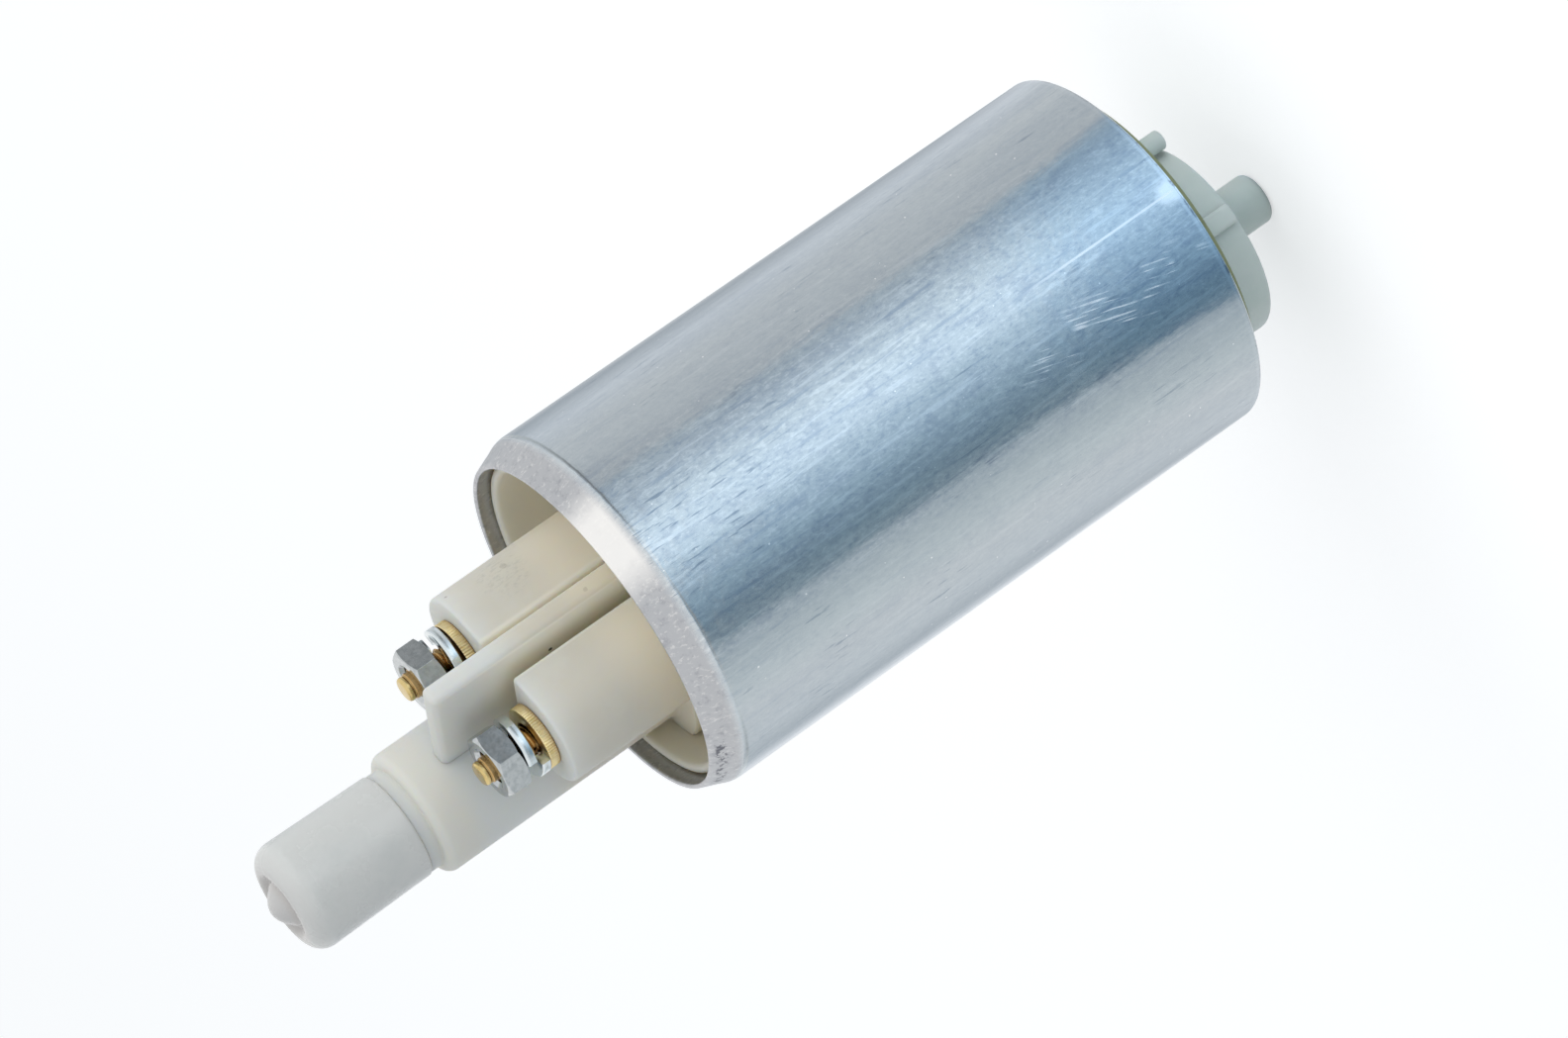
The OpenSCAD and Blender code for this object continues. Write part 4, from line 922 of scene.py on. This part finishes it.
def make_cap():
    floor = Z_CAP_RIM - CAP_END_T
    outline = [(0, floor), (CAP_BORE_R, floor), (CAP_BORE_R, Z_CAP + 0.3), (CAP_BORE_R + 0.25, Z_CAP)]
    outline += arc(CAP_ROOT_R - CAP_ROOT_ROUND, Z_CAP + CAP_ROOT_ROUND, CAP_ROOT_ROUND, -90, 0, 5)
    # Slightly wider towards its end
    outline += [(CAP_ROOT_R + 0.2 * k, Z_CAP + 0.5 + 11.8 * k) for k in (0.25, 0.5, 0.75, 1.0)]
    outline += arc(CAP_CREST_R, Z_CAP_RIM - CAP_ROUND, CAP_ROUND, 0, 90, 12)
    # The groove in the end, and the nib left by the mould
    groove = ((3.85, 0.08), (3.6, 0.35), (3.4, 0.62), (3.1, 0.74), (2.85, 0.62))
    outline += [(r, Z_CAP_RIM - down) for r, down in groove]
    nib = ((2.6, 0.1), (2.2, 0.42), (1.8, 0.82), (1.4, 1.14), (1.0, 1.38), (0.5, 1.56), (0, 1.62))
    outline += [(r, Z_CAP_RIM - 0.3 + up) for r, up in nib]
    cap = smooth(turned("cap_shell", outline, steps=96, at=(0, TUBE_Y), closed=False), 45)
    dress(cap, vinyl_finish())
    stand_for(cap, "outlet_cap", "outlet_cap", body="transport_cap")


# Terminals: what stands on the positive stud is copied to the negative one

def at_terminals(piece, suffix, turns, finish, slot, *nodes, angle=40):
    """A copy of a piece at each stud, turned as the photo shows it; nodes are what each copy stands for."""
    for i, (side, x) in enumerate((("positive", STUD_X), ("negative", -STUD_X))):
        made = smooth(copy_of(piece, side + suffix, move=(x, 0, 0), turn=turns[i]), angle)
        dress(made, finish)
        stand_for(made, slot, nodes[i % len(nodes)])
    bpy.data.objects.remove(piece, do_unlink=True)


def make_thread(name, z0, z1):
    """A thread: one V-shaped outline swept up in a screw."""
    root, half = THREAD_R - THREAD_DEPTH, THREAD_PITCH / 2
    crest = THREAD_PITCH * 0.08
    points = [(root, z0), (THREAD_R - 0.04, z0 + half - crest), (THREAD_R, z0 + half),
              (THREAD_R - 0.04, z0 + half + crest), (root, z0 + THREAD_PITCH)]
    rod = settle(draw_line(points), name)
    sweep = rod.modifiers.new("sweep", "SCREW")
    sweep.angle, sweep.screw_offset = 2 * math.pi, THREAD_PITCH * MM
    sweep.iterations = int((z1 - z0) / THREAD_PITCH) - 1
    sweep.steps = sweep.render_steps = 28
    sweep.use_merge_vertices = True
    apply_modifier(rod, sweep)
    with editing(rod):
        bpy.ops.mesh.remove_doubles(threshold=1e-6)
        bpy.ops.mesh.fill_holes(sides=0)
        bpy.ops.mesh.normals_make_consistent(inside=False)
    return rod


def make_studs(finish):
    thread = make_thread("thread", Z_THREAD, Z_TIP)
    head_r, core_r, tip_round = SPRING_ROOM_R - 0.05, 1.55, 0.35
    core = [(0, Z_HEAD - HEAD_T), (head_r, Z_HEAD - HEAD_T), (head_r, Z_HEAD - 0.2), (head_r - 0.2, Z_HEAD)]
    core += [(core_r, Z_HEAD), (1.5, Z_TIP - 0.1), (TIP_R, Z_TIP), (TIP_R, Z_TIP + 0.13)]
    # A groove round the tip
    core += [(TIP_R - 0.14, Z_TIP + 0.19), (TIP_R - 0.14, Z_TIP + 0.25), (TIP_R, Z_TIP + 0.31)]
    core += arc(TIP_R - tip_round, Z_STUD - tip_round, tip_round, 0, 90, 6) + [(0, Z_STUD)]
    stud = joined("stud_dress", turned("core", core, steps=64, closed=False), thread)
    at_terminals(smooth(stud, 40), "_stud_thread", STUD_TURNS, finish, "stud",
                 "positive_stud", "negative_stud")


def make_discs(finish):
    """Brass discs with a fine axial knurl, cut by pulling every other edge inwards."""
    disc = round_bar("disc", DISC_R, Z_TOWER, Z_DISC, sides=2 * KNURLS)
    with editing(disc):
        bpy.ops.mesh.select_all(action="DESELECT")
    for v in disc.data.vertices:
        v.select = round(math.atan2(v.co.y, v.co.x) / math.pi * KNURLS) % 2 == 0
    with editing(disc, everything=False):
        bpy.ops.transform.resize(value=(KNURL_SHARE, KNURL_SHARE, 1), center_override=(0, 0, 0))
    bevel_edges(disc, lambda a, b: abs(a.z - b.z) < 0.01, 0.12, 2)
    combine(disc, round_bar("hole", TERMINAL_HOLE_R, Z_TOWER - 1, Z_DISC + 1, sides=48), "DIFFERENCE")
    at_terminals(disc, "_disc", (0, 0), finish, "contact_disc", "contact_discs", angle=25)


def make_washers(finish):
    """Split spring washers, left-hand: a square section with soft corners that climbs to its split."""
    low = Z_DISC + WASHER_CLIMB
    washer = upright_face("washer", (WASHER_IN, low), (WASHER_OUT, low + WASHER_T))
    with editing(washer):
        bpy.ops.mesh.bevel(offset=0.14 * MM, segments=3, affect="VERTICES")
        bpy.ops.mesh.select_all(action="SELECT")
        bpy.ops.mesh.delete(type="ONLY_FACE")
    swept(washer, 360 - WASHER_SPLIT, -WASHER_CLIMB, 72)
    turns = [turn + WASHER_SPLIT / 2 for turn in WASHER_TURNS]
    at_terminals(washer, "_washer", turns, finish, "washer", "spring_washers")


def make_nuts(finish):
    """Hexagons whose corners are turned off to a cone at both ends."""
    corner, face, bevel = NUT_FLAT * 2 / math.sqrt(3), NUT_FLAT - 0.12, 0.33
    hexagon = round_bar("nut", corner, Z_WASHER, Z_NUT, sides=6)
    outline = [(0, Z_WASHER), (face, Z_WASHER), (corner, Z_WASHER + bevel), (corner, Z_NUT - bevel)]
    cone = turned("cone", outline + [(face, Z_NUT), (0, Z_NUT)], steps=96, closed=False)
    combine(hexagon, cone, "INTERSECT")
    outline = [(0, Z_WASHER - 1), (TERMINAL_HOLE_R, Z_WASHER - 1), (TERMINAL_HOLE_R, Z_NUT - 0.45)]
    outline += [(SINK_R, Z_NUT + 0.02), (SINK_R, Z_NUT + 1), (0, Z_NUT + 1)]
    bore = turned("bore", outline, steps=48, closed=False)
    combine(hexagon, bore, "DIFFERENCE")
    soften(hexagon, 0.06, 1, 40)
    at_terminals(weld(hexagon), "_nut", NUT_TURNS, finish, "nut", "terminal_nuts", angle=15)


# Inlet cover

def make_inlet_plate():
    """Plate with its register, the hollow boss and two kidney-shaped windows round the post."""
    outline = [(0, Z_FACE), (REGISTER_R - 0.15, Z_FACE), (REGISTER_R, Z_FACE + 0.15)]
    outline += [(REGISTER_R, Z_REGISTER), (COVER_R, Z_REGISTER), (COVER_R, Z_INLET_TOP), (0, Z_INLET_TOP)]
    plate = turned("inlet_plate", outline, steps=128, closed=False)
    edge, root = 0.5, 0.4
    outline = [(0, Z_BOSS), (BOSS_R - edge, Z_BOSS)] + arc(BOSS_R - edge, Z_BOSS + edge, edge, -80, 0, 5)
    outline += arc(BOSS_R + root, Z_FACE - root, root, 180, 90, 4)
    outline += [(BOSS_R + root, Z_FACE + 0.3), (0, Z_FACE + 0.3)]
    combine(plate, turned("boss", outline, steps=128, at=(BOSS_X, 0), closed=False), "UNION")
    room = round_bar("room", BOSS_R - 2.1, Z_BOSS + 1.6, -30, at=(BOSS_X, 0), sides=96)
    combine(plate, room, "DIFFERENCE")
    low, high = Z_BOSS - 1, Z_BOSS + 3
    for side in (0, 180):
        window = part_turn("window", (WINDOW_R - WINDOW_HALF, low), (WINDOW_R + WINDOW_HALF, high),
                           at=(BOSS_X, 0), start=side - 45, angle=90, steps=24)
        combine(plate, window, "DIFFERENCE")
        for turn in (math.radians(side - 45), math.radians(side + 45)):
            end = (BOSS_X + WINDOW_R * math.cos(turn), WINDOW_R * math.sin(turn))
            combine(plate, round_bar("window_end", WINDOW_HALF, low, high, at=end, sides=32), "DIFFERENCE")
    soften(plate, 0.18, 2, 45)
    return smooth(weld(plate), 30)


def make_post():
    root, tip = 0.3, 0.7
    outline = [(0, Z_BOSS + 1.0), (POST_R + 0.25, Z_BOSS + 0.1), (POST_R + 0.25, Z_BOSS)]
    outline += arc(POST_R + root, Z_BOSS - 0.35, root, 90, 180, 4) + [(POST_R, Z_POST + 0.9)]
    outline += arc(POST_R - tip, Z_POST + tip, tip, 0, -90, 6) + [(0, Z_POST)]
    return smooth(turned("strainer_post", outline, steps=64, at=(POST_X, 0), closed=False), 40)


def make_peg():
    edge, angle = 0.3, math.radians(PEG_TURN)
    reach = BOSS_R + PEG_R + edge
    outline = [(0, Z_FACE + 0.2), (PEG_R + 0.2, Z_FACE + 0.2), (PEG_R + 0.2, Z_FACE)]
    outline += arc(PEG_R + edge, Z_FACE - edge, edge, 90, 180, 3) + [(PEG_R, Z_PEG + 0.35)]
    outline += arc(PEG_R - edge, Z_PEG + edge, edge, 0, -90, 4) + [(0, Z_PEG)]
    at = (BOSS_X + reach * math.cos(angle), reach * math.sin(angle))
    return smooth(turned("locating_peg", outline, steps=40, at=at, closed=False), 40)


def make_key():
    """The key rib down the boss's side; the boss's wall stands inside it."""
    outer = BOSS_X + BOSS_R + 1.0
    rib = block("key_rib", (BOSS_X, -KEY_HALF, Z_BOSS + 0.35), (outer, KEY_HALF, Z_FACE + 0.1))
    soften(rib, 0.4, 4)
    key = smooth(copy_of(rib, "strainer_key", turn=KEY_TURN, about=(BOSS_X, 0)), 30)
    combine(key, round_bar("inner_room", BOSS_R - 1.0, -50, -30, at=(BOSS_X, 0), sides=96), "DIFFERENCE")
    bpy.data.objects.remove(rib, do_unlink=True)
    return smooth(key, 30)


def make_inlet_cover(finish):
    for piece in (make_inlet_plate(), make_post(), make_peg(), make_key()):
        dress(piece, finish)
        stand_for(piece, "inlet_cover", "inlet_cover")


def make_seal(finish):
    edge = 0.25
    ring = [(SEAL_IN, Z_REGISTER), (SEAL_IN, Z_SEAL + 0.05)] + arc(SEAL_IN + edge, Z_SEAL, edge, 180, 270, 3)
    ring += arc(SEAL_OUT - edge, Z_SEAL, edge, 270, 360, 3) + [(SEAL_OUT, Z_REGISTER)]
    seal = smooth(turned("inlet_seal_ring", ring, steps=128), 40)
    dress(seal, finish)
    stand_for(seal, "inlet_seal", "inlet_seal")


# Springs and braids

SLOTS = {part["node"]: part["material_slot"] for part in frame["record"]["subparts"]}


def make_coil(name, r, wire_r, low, high, turns, at, strands):
    """Round wire wound into a spring, or several strands laid together into a braid."""
    made = []
    for i in range(strands):
        clear_selection()
        bpy.ops.mesh.primitive_circle_add(vertices=12, radius=wire_r * MM, fill_type="NOTHING",
                                          rotation=(math.pi / 2, 0, 0),
                                          location=(r * MM, 0, (low + wire_r) * MM))
        strand = settle(bpy.context.object, name)
        swept(strand, 360 * turns, high - low - 2 * wire_r, round(26 * turns))
        made.append(place(strand, at, 360 * i / strands))
    return smooth(joined(name, *made) if strands > 1 else made[0], 50)


def wind(node_name, at, r, wire_r, low, high, turns, finish, strands=1):
    """Drawn wire in place of a CAD spring or braid."""
    shown = make_coil(node_name + "_shown", r, wire_r, low, high, turns, at, strands)
    dress(shown, finish)
    stand_for(shown, SLOTS[node_name], node_name)
    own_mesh(shown)


def make_springs(wire, braid):
    """The brushes' springs and leads, then the valves' springs."""
    top = Z_HEAD - HEAD_T
    for kind, r, wire_r, turns, finish, strands in (("_brush_spring", 2.2, 0.3, 9, wire, 1),
                                                    ("_brush_lead", 0.29, 0.2, 6, braid, 4)):
        for side, x in (("positive", STUD_X), ("negative", -STUD_X)):
            wind(side + kind, (x, 0), r, wire_r, Z_SPRING, top, turns,
                 finish, strands)
    wind("check_valve_spring", (0, TUBE_Y), 2.1, 0.25, Z_POPPET, Z_CHECK_TOP, 6,
         wire)
    wind("relief_valve_spring", (0, RELIEF_Y), 1.4, 0.2, Z_BALL_TOP, Z_RELIEF, 3.5,
         wire)


# Light, floor and camera

# Bearing round the pump, 0 towards the viewer and rising towards the lower right, and the colour there,
# as shares of ROOM_LEVEL times white
ROOM_LEVEL = 1.4
ROOM_TONES = [
    (-180, 0.55, 0.56, 0.57), (-150, 0.34, 0.37, 0.40), (-125, 0.60, 0.62, 0.65), (-100, 0.55, 0.56, 0.57),
    (-72, 0.485, 0.50, 0.515), (-64, 0.465, 0.48, 0.495), (-60, 0.40, 0.45, 0.49), (-50, 0.46, 0.52, 0.58),
    (-41, 0.56, 0.64, 0.71), (-30, 0.70, 0.80, 0.88), (-19, 0.72, 0.84, 0.95), (-9, 0.68, 0.80, 0.91),
    (0, 0.50, 0.62, 0.72), (10, 0.40, 0.51, 0.61), (19, 0.29, 0.39, 0.47), (28, 0.21, 0.29, 0.36),
    (37, 0.18, 0.25, 0.30), (46, 0.22, 0.28, 0.32), (50, 0.39, 0.435, 0.47), (62, 0.46, 0.50, 0.52),
    (77, 0.56, 0.59, 0.60), (95, 0.62, 0.63, 0.64), (120, 0.58, 0.60, 0.62), (140, 0.42, 0.45, 0.48),
    (160, 0.66, 0.68, 0.71), (180, 0.55, 0.56, 0.57)]

# The same for the farther part of the room, which the terminals reflect, in greys
FAR_LEVELS = [
    (-180, 0.6), (-120, 0.45), (-92, 0.30), (-76, 0.19), (-38, 0.20), (-24, 0.85), (-8, 0.95), (8, 0.36),
    (32, 0.30), (46, 0.36), (64, 0.55), (90, 0.62), (125, 0.4), (150, 0.7), (180, 0.6)]
FAR_TONES = [(turn, level * 0.96, level * 0.99, level) for turn, level in FAR_LEVELS]

# The floor lies just under the strainer post, and the sheet that reflections see a little above it
Z_FLOOR, FLOOR_SIZE, Z_SHEET, SHEET_R = -49.9, 8000, -49.85, 900


def direction(along, towards, across):
    """A direction from its shares along the axis, towards the viewer, and across to the lower right."""
    x, y = math.cos(math.radians(VIEW_TURN)), math.sin(math.radians(VIEW_TURN))
    return Vector((across * x + towards * y, -across * y + towards * x, along))


def lamp(name, spot, size, level, colour):
    """A soft box at a spot, facing the pump; level is how bright its face looks, 1 for white."""
    made = bpy.data.lights.new(name, "AREA")
    made.shape, made.size, made.size_y = "RECTANGLE", size[0], size[1]
    made.energy, made.color = level * math.pi * size[0] * size[1], colour
    lamp_object = bpy.data.objects.new(name, made)
    bpy.context.collection.objects.link(lamp_object)
    lamp_object.location = spot
    lamp_object.rotation_euler = (-spot).to_track_quat("-Z", "Y").to_euler()
    lamp_object.visible_camera = lamp_object.visible_glossy = False


def seen(tree):
    """1 for rays from the camera, mirrored ones and those that pass through, 0 for diffuse light."""
    path = tree.nodes.new("ShaderNodeLightPath").outputs
    mirrored = maths(tree, "MAXIMUM", path["Is Glossy Ray"], path["Is Transmission Ray"])
    return maths(tree, "MAXIMUM", path["Is Camera Ray"], mirrored)


def mixed(tree, share, first, second, blend="MIX"):
    """Two colours, each a value or a link, mixed by share."""
    settings = {"data_type": "RGBA", "blend_type": blend}
    return node(tree, "ShaderNodeMix", settings, Factor=share, _6=first, _7=second).outputs[2]


def make_floor():
    clear_selection()
    bpy.ops.mesh.primitive_plane_add(size=FLOOR_SIZE * MM, location=(0, 0, Z_FLOOR * MM))
    floor = settle(bpy.context.object, "floor")
    material, tree, surface = blank_material("pale floor")
    pale = node(tree, "ShaderNodeBsdfDiffuse", Color=(0.80, 0.80, 0.81, 1))
    white = node(tree, "ShaderNodeEmission", Color=(1, 1, 1, 1), Strength=0.5)
    dark = node(tree, "ShaderNodeBsdfTransparent", Color=(0, 0, 0, 1))
    glow = node(tree, "ShaderNodeMixShader", Fac=seen(tree), _1=dark.outputs[0], _2=white.outputs[0])
    both = node(tree, "ShaderNodeAddShader", _0=pale.outputs[0], _1=glow.outputs[0])
    tree.links.new(both.outputs[0], surface)
    dress(floor, material)


def tone_ring(tree, share, tones):
    """Colours round the pump, read at a share of the turn from the back of the view."""
    ring = node(tree, "ShaderNodeValToRGB", Fac=share)
    stops = ring.color_ramp.elements
    for i, (turn, red, green, blue) in enumerate(tones):
        stop = stops[i] if i < 2 else stops.new((turn + 180) / 360)
        stop.position, stop.color = (turn + 180) / 360, (red, green, blue, 1)
    return ring.outputs[0]


def make_reflector():
    """A toned sheet round the pump's foot, seen only in reflections: the tones of a plain room."""
    clear_selection()
    bpy.ops.mesh.primitive_circle_add(vertices=96, radius=SHEET_R * MM, fill_type="NGON",
                                      location=(0, 0, Z_SHEET * MM))
    sheet = settle(bpy.context.object, "reflector")
    material, tree, surface = blank_material("room tones")
    point = object_point(tree)
    x, y, _ = node(tree, "ShaderNodeSeparateXYZ", Vector=point).outputs
    reach = length_of(tree, point)
    # 0 at the back of the view, 0.5 towards the viewer, rising towards the lower right
    bearing = maths(tree, "SUBTRACT", math.radians(90 - VIEW_TURN), maths(tree, "ARCTAN2", y, x))
    share = maths(tree, "FRACT", maths(tree, "ADD", maths(tree, "DIVIDE", bearing, 2 * math.pi), 0.5))
    left = ramp(tree, share, (180 - 66) / 360, (180 - 54) / 360)
    right = ramp(tree, share, (180 + 44) / 360, (180 + 50) / 360, 1.0, 0.0)
    middle = times(tree, left, right)
    # Darker and bluer close to the foot, and bright right under it
    close = times(tree, middle, ramp(tree, reach, 95 * MM, 140 * MM, 1.0, 0.0))
    tones = mixed(tree, close, tone_ring(tree, share, ROOM_TONES), (0.70, 0.82, 0.92, 1), "MULTIPLY")
    under = times(tree, middle, ramp(tree, reach, 42 * MM, 54 * MM, 0.7, 0.0))
    strength = times(tree, maths(tree, "ADD", under, 1.0), ROOM_LEVEL)
    far = times(tree, ramp(tree, reach, 350 * MM, 370 * MM), ramp(tree, reach, 500 * MM, 600 * MM, 1.0, 0.2))
    colour = mixed(tree, far, tones, tone_ring(tree, share, FAR_TONES))
    glow = node(tree, "ShaderNodeEmission", Color=colour, Strength=strength)
    tree.links.new(glow.outputs[0], surface)
    dress(sheet, material)
    sheet.visible_camera = sheet.visible_diffuse = sheet.visible_shadow = sheet.visible_transmission = False


def make_world():
    world = bpy.data.worlds.new("studio")
    bpy.context.scene.world = world
    world.use_nodes = True
    tree = world.node_tree
    tree.nodes.clear()
    out = tree.nodes.new("ShaderNodeOutputWorld")
    looked_at = seen(tree)
    colour = mixed(tree, looked_at, (0.95, 1.0, 1.03, 1), (1, 1, 1, 1))
    strength = ramp(tree, looked_at, 0.0, 1.0, 0.56, 1.0)
    back = node(tree, "ShaderNodeBackground", Color=colour, Strength=strength)
    tree.links.new(back.outputs[0], out.inputs["Surface"])


def make_camera():
    """The photograph's own viewpoint, with its lens; the picture's long side runs along right."""
    data = bpy.data.cameras.new("camera")
    camera = bpy.data.objects.new("camera", data)
    bpy.context.collection.objects.link(camera)
    data.sensor_width, data.sensor_fit, data.lens = 36, "HORIZONTAL", 147.55
    data.clip_start, data.clip_end = 0.01, 20
    right = (0.62152, -0.04662, -0.78201)
    up = (-0.65226, 0.52211, -0.54951)
    back = (0.43391, 0.8516, 0.29409)
    viewpoint = [c * MM for c in (294.05, 572.15, 212.12)]
    camera.matrix_world = Matrix([*zip(right, up, back, viewpoint), (0, 0, 0, 1)])
    bpy.context.scene.camera = camera


# Assembly

ivory = ivory_finish()
brass = brass_finish("brass thread", (0.66, 0.51, 0.22), 0.2, 0.55)
washer_finish = plated_finish(
    "zinc plated washer", (0.68, 0.745, 0.76), 0.12, (0.48, 0.54, 0.57), 0.4, 1500.0, 0.0006, 0.3,
    splits=((9.3, 1.05, 52.3), (-9.45, 0.25, 52.3)))
nut_finish = plated_finish(
    "bright nut", (0.46, 0.49, 0.50), 0.14, (0.32, 0.35, 0.365), 0.5, 1300.0, 0.0005, 0.18)
wire = turned_metal("spring wire", (0.66, 0.67, 0.70), 0.25, 0.1)
braid = layered("copper braid", (0.78, 0.42, 0.22), 0.35, (0.25, 0.10, 0.05), 0.35)

make_can()
make_outlet_cover(ivory)
make_cap()
make_studs(brass)
make_discs(brass_finish("brass disc", (0.90, 0.74, 0.38), 0.28))
make_washers(washer_finish)
make_nuts(nut_finish)
make_inlet_cover(inlet_finish())
make_seal(rubber_finish("yellow green rubber", (0.30, 0.33, 0.17)))

finish_nodes(rubber_finish("black rubber", (0.03, 0.03, 0.03)), "outlet_seal")
finish_nodes(sintered("ferrite", (0.09, 0.09, 0.10), 0.6, 0.0), "magnet_north", "magnet_south")
finish_nodes(plated_finish("blued spring steel", (0.20, 0.26, 0.38), 0.3, (0.10, 0.12, 0.18)), "magnet_clips")
finish_nodes(turned_metal("ground shaft steel", (0.72, 0.72, 0.74), 0.2, 0.05), "motor_shaft")
finish_nodes(layered("core laminations", (0.42, 0.44, 0.48), 0.5, (0.08, 0.08, 0.09)), "armature_core")
finish_nodes(moulded("green epoxy", (0.10, 0.24, 0.14)), "slot_insulators")
finish_nodes(layered("enamelled copper wire", (0.72, 0.30, 0.12), 0.45, (0.16, 0.05, 0.02), 0.3),
             "armature_windings")
finish_nodes(moulded("brown phenolic", (0.16, 0.07, 0.035)), "commutator_hub")
finish_nodes(turned_metal("commutator copper", (0.80, 0.42, 0.26), 0.3, 0.2), "commutator_bars")
finish_nodes(sintered("brush carbon", (0.05, 0.05, 0.055), 0.5, 0.2), "positive_brush", "negative_brush")
finish_nodes(wire, "positive_brush_spring", "negative_brush_spring",
             "check_valve_spring", "relief_valve_spring")
finish_nodes(braid, "positive_brush_lead", "negative_brush_lead")
finish_nodes(sintered("sintered bronze", (0.56, 0.38, 0.18), 0.45), "upper_bearing", "lower_bearing")
finish_nodes(turned_metal("ground washer steel", (0.68, 0.68, 0.70)), "thrust_washers")
finish_nodes(sintered("ground plate steel", (0.40, 0.41, 0.43), 0.42), "bearing_plate", "port_plate")
finish_nodes(sintered("ring steel", (0.34, 0.35, 0.37), 0.5), "rotor_ring")
finish_nodes(sintered("outer rotor steel", (0.28, 0.29, 0.31), 0.45), "outer_rotor")
finish_nodes(sintered("inner rotor steel", (0.50, 0.51, 0.54), 0.38), "inner_rotor")
finish_nodes(moulded("tan moulding", (0.66, 0.48, 0.26)), "drive_coupling")
finish_nodes(plated_finish("plated screw", (0.62, 0.63, 0.66), 0.3, (0.3, 0.3, 0.32)), "plate_screws")
finish_nodes(brass, "check_valve_seat", "relief_valve_seat")
finish_nodes(moulded("white moulding", (0.76, 0.75, 0.70)), "check_valve_poppet", "check_valve_guide")
finish_nodes(turned_metal("ball steel", (0.80, 0.80, 0.82), 0.08, 0.6), "relief_valve_ball")
make_springs(wire, braid)

make_floor()
make_reflector()
make_world()
make_camera()
lamp("key", direction(0.38, 0.62, -0.75).normalized() * 0.85, (1.0, 1.0), 1.1, (1.0, 0.985, 0.955))
bpy.context.scene.view_settings.view_transform = "Standard"
